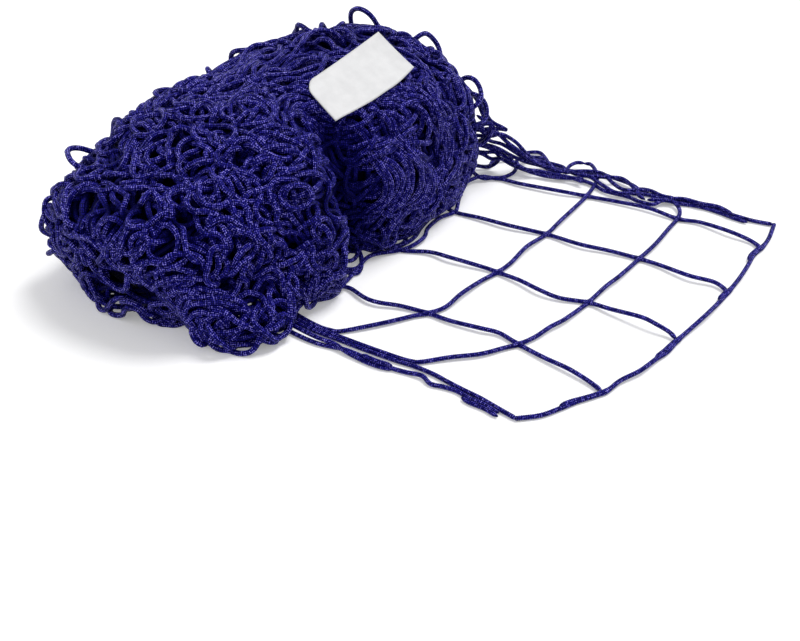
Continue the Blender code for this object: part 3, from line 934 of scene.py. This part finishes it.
def cord_material(name, tones):
    """Braided cord: two crossing families of strands, with filaments and uneven dye, painted shade in the
    braid's hollows and painted glints on its crests.
    """
    material, tree, shader = new_material(name)
    u, v = split_uv(tree, "braid")
    around = math_node(tree, "MULTIPLY", u, BRAID_LOBES)
    along = math_node(tree, "MULTIPLY", v, 1 / UV_PER_MM / BRAID_PITCH)
    waves = []
    cells = tree.nodes.new("ShaderNodeCombineXYZ")
    for axis, operation in enumerate(("ADD", "SUBTRACT")):
        phase = math_node(tree, operation, around, along)
        waves.append(math_node(tree, "COSINE", math_node(tree, "MULTIPLY", phase, math.pi)))
        tree.links.new(math_node(tree, "FLOOR", phase), cells.inputs[axis])
    pick = tree.nodes.new("ShaderNodeTexWhiteNoise")
    tree.links.new(cells.outputs[0], pick.inputs["Vector"])
    strands = math_node(tree, "MULTIPLY", waves[0], waves[1])
    height = math_node(tree, "MULTIPLY", math_node(tree, "ADD", strands, 1.0), 0.5)
    dye = noise_node(tree, *DYE_NOISE)
    fuzz = noise_node(tree, *FUZZ_NOISE)
    # Painted glints: the braid's crests are painted brighter, most of all on a random few picks
    bright = math_node(tree, "POWER", pick.outputs["Value"], BRIGHT_POWER)
    bright = scaled_node(tree, bright, BRIGHT_GAIN, BRIGHT_BASE)
    glint = math_node(tree, "MULTIPLY", math_node(tree, "POWER", height, GLINT_POWER), bright)
    tone = scaled_node(tree, dye, DYE_TONE, scaled_node(tree, fuzz, FUZZ_TONE, glint))
    # Painted shade: the tone is darkened by each point's openness to the light
    openness = tree.nodes.new("ShaderNodeAttribute")
    openness.attribute_name = "openness"
    tone = math_node(tree, "SUBTRACT", tone, TONE_DROP)
    tone = math_node(tree, "MULTIPLY", tone, openness.outputs["Fac"])
    set_inputs(tree, shader, {
        "Base Color": ramp_node(tree, tone, tones),
        "Roughness": scaled_node(tree, fuzz, FUZZ_ROUGH, CORD_ROUGH),
        "Specular IOR Level": CORD_SPECULAR,
        "Specular Tint": CORD_TINT,
        "Normal": relief_node(tree, scaled_node(tree, fuzz, FUZZ_RELIEF, height), *CORD_RELIEF)})
    return material


def label_material():
    """White woven satin with a fine weave and a soft sheen."""
    material, tree, shader = new_material("label_satin")
    waves = []
    for place in split_uv(tree, "weave"):
        phase = math_node(tree, "MULTIPLY", place, 2 * math.pi / WEAVE_PITCH)
        waves.append(math_node(tree, "SINE", phase))
    weave = math_node(tree, "MULTIPLY", waves[0], waves[1])
    tone = scaled_node(tree, weave, WEAVE_TONE, noise_node(tree, *LABEL_NOISE))
    set_inputs(tree, shader, {
        "Base Color": ramp_node(tree, tone, LABEL_TONES),
        "Roughness": LABEL_ROUGH,
        "Sheen Weight": LABEL_SHEEN,
        "Normal": relief_node(tree, weave, *LABEL_RELIEF)})
    return material


CORD = cord_material("braided_cord", CORD_TONES)
# A shaded copy of the cord material, painted shade for the mass of inner turns
SHADE = cord_material("shaded_cord", SHADE_TONES)

# The rolled cords, as tubes in four lengths of the roll

ROLLED_NAMES = ("near_end", "near_lobe", "far_lobe", "far_end")
ROLLED_LIMITS = (-0.45, 0.0, 0.46)
ROLLED_SIDES = 7
ROLLED_STEP = SEGMENT / 2
SHOWN_Z = 5.5
SHOWN_OUTER = 0.95

# Light on the cords: full near the outline, less further in and in the cleft between the lobes
DEEP_OPEN = 0.20
DEEP_SHARE = 0.83
DEEP_FADE = 0.14
CLEFT_FRONT = 30
CLEFT_TOP = 150
CLEFT_FADE = 40
CLEFT_DARK = 0.6
CLEFT_T = WAIST_T + 0.02
CLEFT_SPREAD = 0.8 * WAIST_SPREAD

# Cords of the next turn inside the near end, where the outer cords leave gaps down to the floor
END_FILL = (
    ((-117, -168, 3), (-103, -182, 3), (-91, -189, 3), (-77, -195, 3), (-59, -200, 3), (-37, -204, 3),
     (-10, -205, 3)),
    ((-112, -174, 3), (-100, -186, 3), (-88, -193, 3), (-74, -199, 3), (-56, -205, 3), (-34, -209, 3),
     (-8, -210, 3)),
    ((-110, -181, 3), (-97, -191, 3), (-85, -198, 3), (-71, -204, 3), (-53, -210, 3), (-31, -214, 3),
     (-5, -215, 3)),
    ((-106, -185, 8), (-94, -195, 8), (-82, -202, 8), (-66, -209, 8), (-48, -214, 8), (-26, -218, 8),
     (0, -218, 7)),
    ((-108, -182, 13), (-92, -193, 13), (-74, -203, 13), (-54, -209, 13), (-30, -213, 12),
     (-4, -213, 11)),
    ((-106, -178, 18), (-88, -194, 18), (-66, -204, 19), (-42, -208, 20), (-16, -207, 18),
     (10, -202, 13)))
# Painted shade on the fill cords, through their openness to the light
FILL_OPEN = 0.42

# The mass of packed turns, dark with painted shade
MASS_ALONG = 96
MASS_AROUND = 96
MASS_SHARE = 0.79
MASS_LUMP = 0.018
MASS_END_T = 0.84
MASS_TIP_T = 0.86
MASS_TIP_POWER = 8
MASS_LOWEST = 1.0
MASS_UV = (0.6, 0.5)


def shown_runs(chain, shown):
    """Runs of a chain's nodes that are near the surface, with a little to spare at each end."""
    keep = shown[chain]
    spread = keep.copy()
    spread[1:] |= keep[:-1]
    spread[:-1] |= keep[1:]
    edges = np.flatnonzero(np.diff(np.concatenate([[0], spread.astype(int), [0]])))
    return [chain[a:b] for a, b in zip(edges[::2], edges[1::2]) if b - a > 2]


def outness(x):
    """How near each point is to the outside of the roll, 1 on its outline or its end."""
    share, _, _, _, _, end_gap = roll_share(x, ROLL_HALF_LENGTH)
    return np.maximum(share, 1 - 2 * end_gap)


def cleft_shade(x):
    """Shade in the cleft between the lobes, on the front of the roll."""
    t = (x[:, 1] - ROLL_Y) / ROLL_HALF_LENGTH
    front = np.clip((x[:, 0] - ROLL_X - CLEFT_FRONT) / CLEFT_FADE, 0, 1)
    front = front * np.clip((CLEFT_TOP - x[:, 2]) / CLEFT_FADE, 0, 1)
    return 1 - CLEFT_DARK * front * bump(t, CLEFT_T, CLEFT_SPREAD)


def openness(route):
    """How open the points of a route lie to the light."""
    light = DEEP_OPEN + (1 - DEEP_OPEN) * (outness(route) - DEEP_SHARE) / DEEP_FADE
    return np.clip(light, DEEP_OPEN, 1.0) * cleft_shade(route)


def make_rolled_net():
    x, chains, loose = roll_up_net()
    out = outness(x)
    shown = (out > SHOWN_SHARE) | loose
    shown &= (x[:, 2] > SHOWN_Z) | (out > SHOWN_OUTER) | loose
    groups = [new_tubes() for _ in ROLLED_NAMES]
    for chain in chains:
        for run in shown_runs(chain, shown):
            route = smooth_route(x[run], ROLLED_STEP)
            middle = (np.median(route[:, 1]) - ROLL_Y) / ROLL_HALF_LENGTH
            group = groups[int(np.searchsorted(ROLLED_LIMITS, middle))]
            add_tube(group, route, ROLLED_SIDES, openness(route), radius=ROLLED_R)
    for points in END_FILL:
        add_tube(groups[0], smooth_route(points, ROLLED_STEP), ROLLED_SIDES, FILL_OPEN, radius=ROLLED_R)
    return [tube_object(f"rolled_net_{name}", tubes, CORD) for name, tubes in zip(ROLLED_NAMES, groups)]


def make_inner_turns():
    """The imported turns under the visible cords, as one dark lumpy body."""
    places = np.sin(np.pi * (np.arange(1, MASS_ALONG) / MASS_ALONG - 0.5)) * MASS_END_T
    t = np.repeat(places, MASS_AROUND)
    angle = np.tile(2 * np.pi * np.arange(MASS_AROUND) / MASS_AROUND, len(places))
    taper = np.sqrt(1 - np.abs(t / MASS_TIP_T) ** MASS_TIP_POWER)
    lumps = MASS_LUMP * np.sin(9 * angle + 14 * t) * np.sin(31 * t + 3 * angle)
    points = on_roll(t, angle, taper * (MASS_SHARE + lumps), MASS_LOWEST)
    faces = []
    for start in range(0, len(points) - MASS_AROUND, MASS_AROUND):
        for j in range(MASS_AROUND):
            k = start + (j + 1) % MASS_AROUND
            faces.append((start + j, k, k + MASS_AROUND, start + j + MASS_AROUND))
    faces.append(tuple(range(MASS_AROUND))[::-1])
    faces.append(tuple(range(len(points) - MASS_AROUND, len(points))))
    uv = [(j * MASS_UV[0], i * MASS_UV[1]) for i in range(len(places)) for j in range(MASS_AROUND)]
    mass = mesh_object("inner_turns_mass", points * MM, faces, "braid", uv, SHADE)
    add_openness(mass.data, np.ones(len(points)))
    return mass


# The laid-out rows. Each route is on the floor, in millimetres, with a lift where the cord arches.
# A lift of 0.3, which is JOINT_LIFT, marks a joint.

LEGS = (
    ((66, -66, 22), (84, -71, 7), (99, -73, 0), (112, -74, 1), (133, -80, 2), (148, -79, 2),
     (168, -70, 1), (195, -64, 0.3), (219, -63, 1), (248, -58, 2), (266, -53, 1), (289, -57, 0.3),
     (319, -62, 1), (345, -65, 2), (367, -69, 1), (383, -74, 0.3)),
    ((70, 6, 20), (87, 9, 6), (104, 14, 0), (130, 27, 1), (155, 28, 3), (191, 35, 1), (205, 36, 0.3),
     (231, 34, 2), (257, 29, 3), (278, 31, 1), (303, 41, 0.3), (328, 40, 3), (359, 39, 7), (375, 38, 6),
     (388, 38, 3), (397, 35, 0.3)),
    ((70, 108, 20), (87, 110, 6), (100, 112, 0), (130, 116, 1), (164, 119, 2), (203, 129, 0.3),
     (242, 129, 2), (272, 137, 1), (302, 142, 0.3), (325, 142, 1), (358, 138, 3), (382, 143, 2),
     (398, 138, 0.3)),
    ((52, 186, 22), (68, 190, 8), (82, 191, 2), (94, 204, 0.3), (123, 207, 1), (165, 216, 2),
     (193, 226, 0.3), (228, 234, 1), (261, 239, 2), (294, 239, 0.3), (317, 245, 1), (350, 242, 3),
     (373, 241, 1), (388, 235, 0.3)))
FOOT_CORD = (
    (66, -98, 20), (84, -86, 6), (98, -73, 0.3), (95, -47, 1), (89, -16, 2), (103, 12, 0.3), (109, 27, 1),
    (109, 47, 2), (100, 66, 1), (97, 91, 1), (101, 112, 0.3), (94, 128, 1), (80, 153, 2), (74, 172, 2),
    (80, 192, 3), (94, 204, 0.3), (101, 222, 1), (96, 240, 2), (90, 250, 4), (98, 263, 4), (114, 268, 5),
    (126, 258, 6), (140, 250, 5), (149, 253, 5))
CROSS_1 = (
    (60, -133, 14), (82, -137, 4), (104, -139, 0), (128, -141.5, 0), (140, -140, 0), (149, -136, 0),
    (163, -118, 1), (176, -97, 1), (187, -76, 0.5), (195, -64, 0.3), (202, -46, 1), (202, -21, 3),
    (202, 12, 1), (205, 36, 0.3), (206, 58, 1), (203, 92, 3), (203, 129, 0.3), (201, 159, 2),
    (196, 205, 1), (193, 226, 0.3), (190, 243, 1), (186, 259, 2), (180, 271, 4), (164, 286, 5),
    (155, 284, 5))
CROSS_2 = (
    (62, -141, 12), (84, -143, 4), (104, -144, 0), (128, -145, 0), (155, -143, 0), (183, -141, 0),
    (215, -138, 0), (228, -135.5, 0), (236, -131, 0), (253, -111, 1), (271, -91, 1), (282, -70, 0.5),
    (289, -57, 0.3), (295, -39, 1), (298, -18, 2), (302, 2, 2), (303, 41, 0.3), (303, 73, 2),
    (304, 99, 2), (302, 142, 0.3), (302, 175, 2), (297, 214, 1), (294, 239, 0.3), (290, 252, 1),
    (283, 261, 2), (274, 265, 3), (262, 258, 4), (252, 251, 4))
END = (
    (346, -150, 0), (360, -134, 0), (368, -116, 0), (374, -100, 0), (386, -74, 0.3), (389, -52, 1),
    (396, -30, 2), (398, -5, 1), (400, 13, 0), (399, 35, 0.3), (400, 56, 1), (402, 85, 3), (400, 122, 0),
    (399, 140, 0.3), (397, 167, 1), (393, 195, 1), (389, 216, 0), (389, 237, 0.3), (387, 257, 1),
    (379, 288, 0))
NEAR_STRAND = (
    ((62, -146, 10), (84, -148, 3), (104, -148.6, 0), (130, -149.4, 0), (156, -147.6, 0),
     (184, -145.8, 0), (216, -142.8, 0), (235, -140, 0), (255, -139.5, 0), (273, -141.5, 0),
     (290, -143, 0), (307, -144, 0), (327, -147, 0), (348, -150, 0)),
    ((64, -153, 8), (86, -155, 4), (108, -157, 3), (128, -160, 4), (146, -160.5, 4), (160, -158, 3),
     (176, -159.5, 1), (196, -160, 0), (212, -158.5, 0), (224, -154.5, 0)),
    ((60, -156, 8), (84, -160, 2), (104, -162.5, 0), (130, -164, 0), (146, -163, 0), (158, -160, 0),
     (171, -157.5, 1), (184, -156.5, 1), (194, -156.5, 1), (213, -156, 1), (225, -153.5, 0),
     (236, -151, 0), (246, -149, 1), (252, -149, 1), (262, -152.5, 0), (273, -149.5, 0), (286, -147.5, 0),
     (299, -149.8, 0), (313, -149.5, 0), (331, -152, 0)))
FAR_STRAND = (
    ((60, 200, 44), (76, 214, 42), (88, 218, 46), (99, 229, 36), (106, 241, 20), (114, 250, 8),
     (132, 252, 2), (146, 247, 1), (163, 254, 1), (185, 253, 1), (204, 247, 1), (228, 250, 1),
     (245, 246, 2), (260, 249, 2), (265, 264, 2), (280, 271, 0), (300, 277.5, 0), (322, 278, 0),
     (340, 276, 0), (355, 276, 0)),
    ((56, 204, 30), (70, 214, 30), (84, 218, 28), (96, 226, 20), (106, 240, 10), (116, 252, 4),
     (136, 257, 2), (155, 262, 4), (177, 261, 4), (198, 252, 4), (217, 246, 4), (232, 256, 3),
     (246, 261, 4), (262, 267, 2), (281, 276, 4), (301, 278, 4), (319, 282, 4), (338, 276, 4)),
    ((36, 204, 102), (46, 210, 92), (58, 212, 80), (66, 215, 62), (80, 222, 44), (93, 236, 24),
     (108, 252, 8), (128, 260, 2), (146, 257, 4), (161, 270, 1), (177, 282, 0), (194, 280, 1),
     (220, 276, 2), (239, 269, 1), (259, 272, 0), (278, 276, 0), (297, 282, 0), (321, 282, 0),
     (340, 280, 1), (359, 283, 0), (379, 288, 0)))

# Loose runs and bights beside the far strand and at the foot of the roll
LOOSE_RUNS = (
    ((104, 246, 12), (96, 258, 6), (85, 271, 2), (95, 287, 0), (111, 277, 0), (121, 264, 3),
     (132, 257, 5)),
    ((44, 190, 14), (56, 208, 4), (70, 221, 1), (68, 238, 2), (84, 258, 2)),
    ((48, 196, 92), (60, 204, 88), (72, 205, 76), (80, 206, 65), (92, 206, 61), (101, 205, 60),
     (93, 209, 57), (80, 206, 55), (66, 204, 50), (50, 196, 50)),
    ((50, 196, 60), (64, 204, 52), (74, 206, 48), (80, 210, 50), (86, 219, 43), (96, 221, 36),
     (104, 230, 26), (112, 240, 14), (124, 250, 6), (140, 252, 5), (156, 254, 5)),
    ((48, 198, 30), (62, 212, 28), (78, 219, 24), (92, 221, 19), (104, 222, 15), (114, 228, 8),
     (126, 238, 5), (142, 243, 4), (160, 247, 4), (178, 246, 4)),
    ((54, 198, 24), (68, 210, 20), (74, 220, 12), (86, 221, 15), (99, 226, 9), (118, 234, 3),
     (138, 238, 2), (158, 246, 3), (174, 252, 5)),
    ((52, 196, 14), (66, 205, 7), (74, 218, 3), (82, 224, 12), (78, 222, 20), (70, 216, 20),
     (60, 206, 22)),
    ((66, -64, 14), (80, -56, 5), (91, -44, 1), (90, -30, 2), (76, -18, 8)),
    ((62, -58, 24), (76, -50, 12), (84, -40, 6), (82, -27, 8), (68, -16, 16)),
    ((66, -62, 8), (84, -52, 0), (97, -48, 0), (94, -36, 1), (80, -20, 4)),
    ((70, -4, 8), (88, 2, 3), (97, 14, 1), (101, 28, 1), (100, 44, 1), (94, 62, 1), (90, 80, 1),
     (88, 98, 2), (70, 106, 8)),
    ((66, 4, 16), (86, 10, 9), (95, 24, 6), (96, 40, 5.5), (91, 58, 5.5), (86, 76, 6), (82, 92, 8),
     (64, 98, 14)),
    ((62, 206, 66), (70, 210, 60), (76, 216, 52), (70, 220, 44), (66, 216, 38), (74, 218, 34),
     (84, 226, 30), (94, 236, 20), (104, 246, 10), (120, 250, 8)),
    ((96, 238, 20), (110, 252, 9), (126, 264, 4), (144, 260, 6), (149, 251, 5)),
    ((156, 285, 5), (148, 281, 5), (145, 271, 4), (150, 260, 4), (168, 257, 5), (190, 266, 6),
     (206, 277, 5), (222, 271, 4), (236, 259, 4), (246, 250, 4)),
    ((151, 254, 5), (168, 270, 5), (186, 273, 6), (204, 262, 5), (222, 255, 5), (238, 266, 5),
     (247, 274, 4)),
    ((250, 250, 4), (240, 254, 5), (234, 265, 5), (244, 272, 4), (260, 269, 4), (274, 274, 3)))

# Short ends of cord that lie along the end cord and the near strand
STUBS = (
    ((386, -74, 0.3), (377.5, -90.5, 0.5), (371, -103, 1), (366, -114, 0.5)),
    ((398, 35, 0.3), (397.5, 24, 0.5), (397.5, 10, 1), (396, -3, 0.5)),
    ((398, 140, 0.3), (397.5, 131, 0.5), (397.5, 119, 0.5)),
    ((388, 237, 0.3), (386.8, 226, 0.5), (386.8, 214, 0.5), (389.5, 203, 0.5)),
    ((294, -153, 0), (304, -154.5, 0), (318, -154, 0), (333, -156.5, 0)))
NEAR_STUB = ((191, -157, 3.5), (200, -158, 4), (210, -157.5, 4), (222, -154, 3))
JOINT_LIFT = 0.3
JOINTS = np.array([point[:2] for route in LEGS + STUBS for point in route if point[2] == JOINT_LIFT])
JOINT_SWELL = 0.24
JOINT_REACH = 4.5
END_TAPER = 5.0
END_LEAST = 0.3
ROW_SPLITS = (150.0, 248.0)
ROW_STEP = 0.6
ROW_SIDES = 12
# Openness of the rows' cords, a little under full, which draws them a little darker
ROW_OPEN = 0.93


def floor_route(points):
    return smooth_route([(px, py, CORD_R + lift) for px, py, lift in points], ROW_STEP)


def cord_radius(route, ends=True):
    """The cord's radius along a route: swollen at the joints, rounded off at its ends."""
    gap = np.min(np.linalg.norm(route[:, None, :2] - JOINTS[None], axis=2), axis=1)
    radius = DRAWN_R * (1 + JOINT_SWELL * np.exp(-(gap / JOINT_REACH) ** 2))
    if ends:
        index = np.arange(len(route))
        inward = np.minimum(index, len(route) - 1 - index) * ROW_STEP
        radius = radius * np.sqrt(np.clip((inward + END_LEAST) / END_TAPER, 0, 1))
    return radius


def split_route(route, radius, limits):
    """Parts of a route between the given X values, each with the place where it starts."""
    steps = lengths_along(route)
    row = np.maximum.accumulate(np.searchsorted(limits, route[:, 0]))
    parts = []
    for k in range(len(limits) + 1):
        own = np.flatnonzero(row == k)
        if len(own) < 3:
            continue
        last = min(own[-1] + 2, len(route))
        parts.append((k, route[own[0]:last], radius[own[0]:last], steps[own[0]]))
    return parts


def add_row_cord(tubes, route, radius, start=0.0):
    add_tube(tubes, route, ROW_SIDES, ROW_OPEN, relief=BRAID_RELIEF, radius=radius, start=start)


def make_rows():
    rows = [new_tubes() for _ in range(3)]
    crossing = (FOOT_CORD, CROSS_1, CROSS_2)
    for points in LEGS + crossing + NEAR_STRAND + (NEAR_STUB,) + FAR_STRAND + LOOSE_RUNS:
        route = floor_route(points)
        for k, part, radii, start in split_route(route, cord_radius(route), ROW_SPLITS):
            add_row_cord(rows[k], part, radii, start)
    for points in (END,) + STUBS:
        route = floor_route(points)
        add_row_cord(rows[2], route, cord_radius(route, ends=points is not END))
    return [tube_object(f"row_{k + 1}_net", tubes, CORD) for k, tubes in enumerate(rows)]


# The label: a free edge that spreads and bows, shallow waves, and a lift at its far upper corner

LABEL_LENGTH = 108.0
LABEL_WIDTH = 50.0
LABEL_THICK = 0.8
LABEL_DRAWN = 0.75
LABEL_CORNER = 14.0
LABEL_SPREAD = 4.5
LABEL_BOW = 4.5
LABEL_BOW_POWER = 1.4
LABEL_WAVE = 0.7
LABEL_RIPPLE = 0.25
LABEL_LIFT = 6.5
LABEL_COLS = 54
LABEL_ROWS = 25


def round_corner(a, d):
    """Draws points of the square corner, at the near end of the sewn edge, in to a round one."""
    inner = LABEL_LENGTH / 2 - LABEL_CORNER
    corner_a = max(0.0, -a - inner)
    corner_d = max(0.0, LABEL_CORNER - d)
    if corner_a == 0 or corner_d == 0:
        return a, d
    shrink = max(corner_a, corner_d) / math.hypot(corner_a, corner_d)
    return -inner - corner_a * shrink, LABEL_CORNER - corner_d * shrink


def label_place(a, d):
    """Where a point of the label lies: along its sewn edge, down from it and off the cords."""
    free = d / LABEL_WIDTH
    wave = LABEL_WAVE * free * (1 + math.sin(a * 0.11 + 0.6))
    wave = wave + LABEL_RIPPLE * math.sin(a * 0.21 + d * 0.12) * free
    bow = LABEL_BOW * free * math.sin(math.pi * (a / LABEL_LENGTH + 0.5) ** LABEL_BOW_POWER)
    along, down = round_corner(a, d)
    along -= LABEL_SPREAD * free * (1 - along / (LABEL_LENGTH / 2))
    lift = LABEL_LIFT * (0.5 + along / LABEL_LENGTH) ** 2 * (1 - free) ** 1.5
    return along, down + bow, LABEL_THICK / 2 + wave + lift


def make_label():
    """A limp cloth label, sewn by its upper edge, lying over the cords in shallow waves."""
    edge, along, down, out = label_axes()
    points = []
    weave = []
    for j in range(LABEL_ROWS + 1):
        for i in range(LABEL_COLS + 1):
            a, d, o = label_place(LABEL_LENGTH * (i / LABEL_COLS - 0.5), LABEL_WIDTH * j / LABEL_ROWS)
            points.append(edge + (along * a + down * d + out * o) * MM)
            weave.append((a, d))
    width = LABEL_COLS + 1
    faces = []
    for j in range(LABEL_ROWS):
        for i in range(LABEL_COLS):
            k = j * width + i
            faces.append((k, k + width, k + width + 1, k + 1))
    obj = mesh_object("cloth_label", points, faces, "weave", weave, label_material())
    solid = obj.modifiers.new("thickness", "SOLIDIFY")
    solid.thickness = LABEL_THICK * MM * LABEL_DRAWN
    solid.offset = 0.0
    return obj


# Stage

CAMERA_AT = (0.792, -0.897, 0.658)
CAMERA_TO = (0.179, -0.086, 0.0)
CAMERA_LENS = 59.4
CAMERA_SENSOR = 36.0
WHITE = (1.0, 1.0, 1.0, 1.0)
WORLD_LIGHT = 0.45
FLOOR_HALF = 6
FLOOR_COLOUR = (0.92, 0.92, 0.92, 1.0)
FLOOR_ROUGH = 0.9
FLOOR_SPECULAR = 0.1
FLOOR_GLOW = 0.26

# Each sun: name, where it shines from, strength, and its width in degrees
SUNS = (("overhead", (0.25, 0.75, 1.6), 1.9, 28), ("fill", (-0.7, -1.0, 0.9), 0.5, 80))


def aim(obj, place, target):
    obj.location = place
    obj.rotation_euler = (Vector(target) - obj.location).to_track_quat("-Z", "Y").to_euler()


def make_camera():
    data = bpy.data.cameras.new("camera")
    data.lens = CAMERA_LENS
    data.sensor_width = CAMERA_SENSOR
    camera = new_object("camera", data)
    aim(camera, CAMERA_AT, CAMERA_TO)
    bpy.context.scene.camera = camera


def make_suns():
    for name, place, energy, angle in SUNS:
        data = bpy.data.lights.new(name, "SUN")
        data.energy = energy
        data.angle = math.radians(angle)
        aim(new_object(name, data), place, (0.0, 0.0, 0.0))


def seen_ray(tree):
    """1 for rays that show the background: from the camera, in a gloss or through glass."""
    path = tree.nodes.new("ShaderNodeLightPath")
    shown = path.outputs["Is Camera Ray"]
    for name in ("Is Glossy Ray", "Is Transmission Ray"):
        shown = math_node(tree, "MAXIMUM", shown, path.outputs[name])
    return shown


def make_world():
    world = bpy.data.worlds.new("studio")
    bpy.context.scene.world = world
    world.use_nodes = True
    tree = world.node_tree
    strength = scaled_node(tree, seen_ray(tree), 1 - WORLD_LIGHT, WORLD_LIGHT)
    set_inputs(tree, tree.nodes["Background"], {"Color": WHITE, "Strength": strength})


def make_floor():
    corners = [(x * FLOOR_HALF, y * FLOOR_HALF, 0) for x, y in ((-1, -1), (1, -1), (1, 1), (-1, 1))]
    mesh = bpy.data.meshes.new("floor")
    mesh.from_pydata(corners, [], [(0, 1, 2, 3)])
    floor = new_object("floor", mesh)
    material, tree, shader = new_material("floor")
    set_inputs(tree, shader, {
        "Base Color": FLOOR_COLOUR,
        "Roughness": FLOOR_ROUGH,
        "Specular IOR Level": FLOOR_SPECULAR,
        "Emission Color": WHITE,
        "Emission Strength": math_node(tree, "MULTIPLY", seen_ray(tree), FLOOR_GLOW)})
    mesh.materials.append(material)


bpy.context.scene.view_settings.view_transform = "Standard"
make_camera()
make_world()
make_floor()
make_suns()
rolled = make_rolled_net()
mass = make_inner_turns()
rows = make_rows()
label = make_label()

TURNS = [f"turn_{i:02d}" for i in range(1, 11)]
OVERS = [f"rolled_cross_cord_{i}" for i in range(1, 8)]

for piece in rolled:
    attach(piece, "bundle")
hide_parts(*TURNS[:3], "slack_loop_1", "slack_loop_2")
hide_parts(*TURNS[3:5], *OVERS[:4], "slack_loop_3")
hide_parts(*TURNS[5:8], *OVERS[4:], "slack_loop_4", "slack_loop_5")
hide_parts(*TURNS[8:], "slack_loop_6")
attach(mass, "bundle")
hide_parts("inner_turns")

# Each row's tubes stay where they are drawn, in place of the row's imported cords
for k, piece in enumerate(rows):
    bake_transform(piece)
    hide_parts(*[f"row_{k + 1}_cord_{i:02d}" for i in range(1, 11)])
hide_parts("cross_cord_foot")
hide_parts("cross_cord_1")
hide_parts("cross_cord_2", "end_cord")

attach(label, "label")
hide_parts("label")
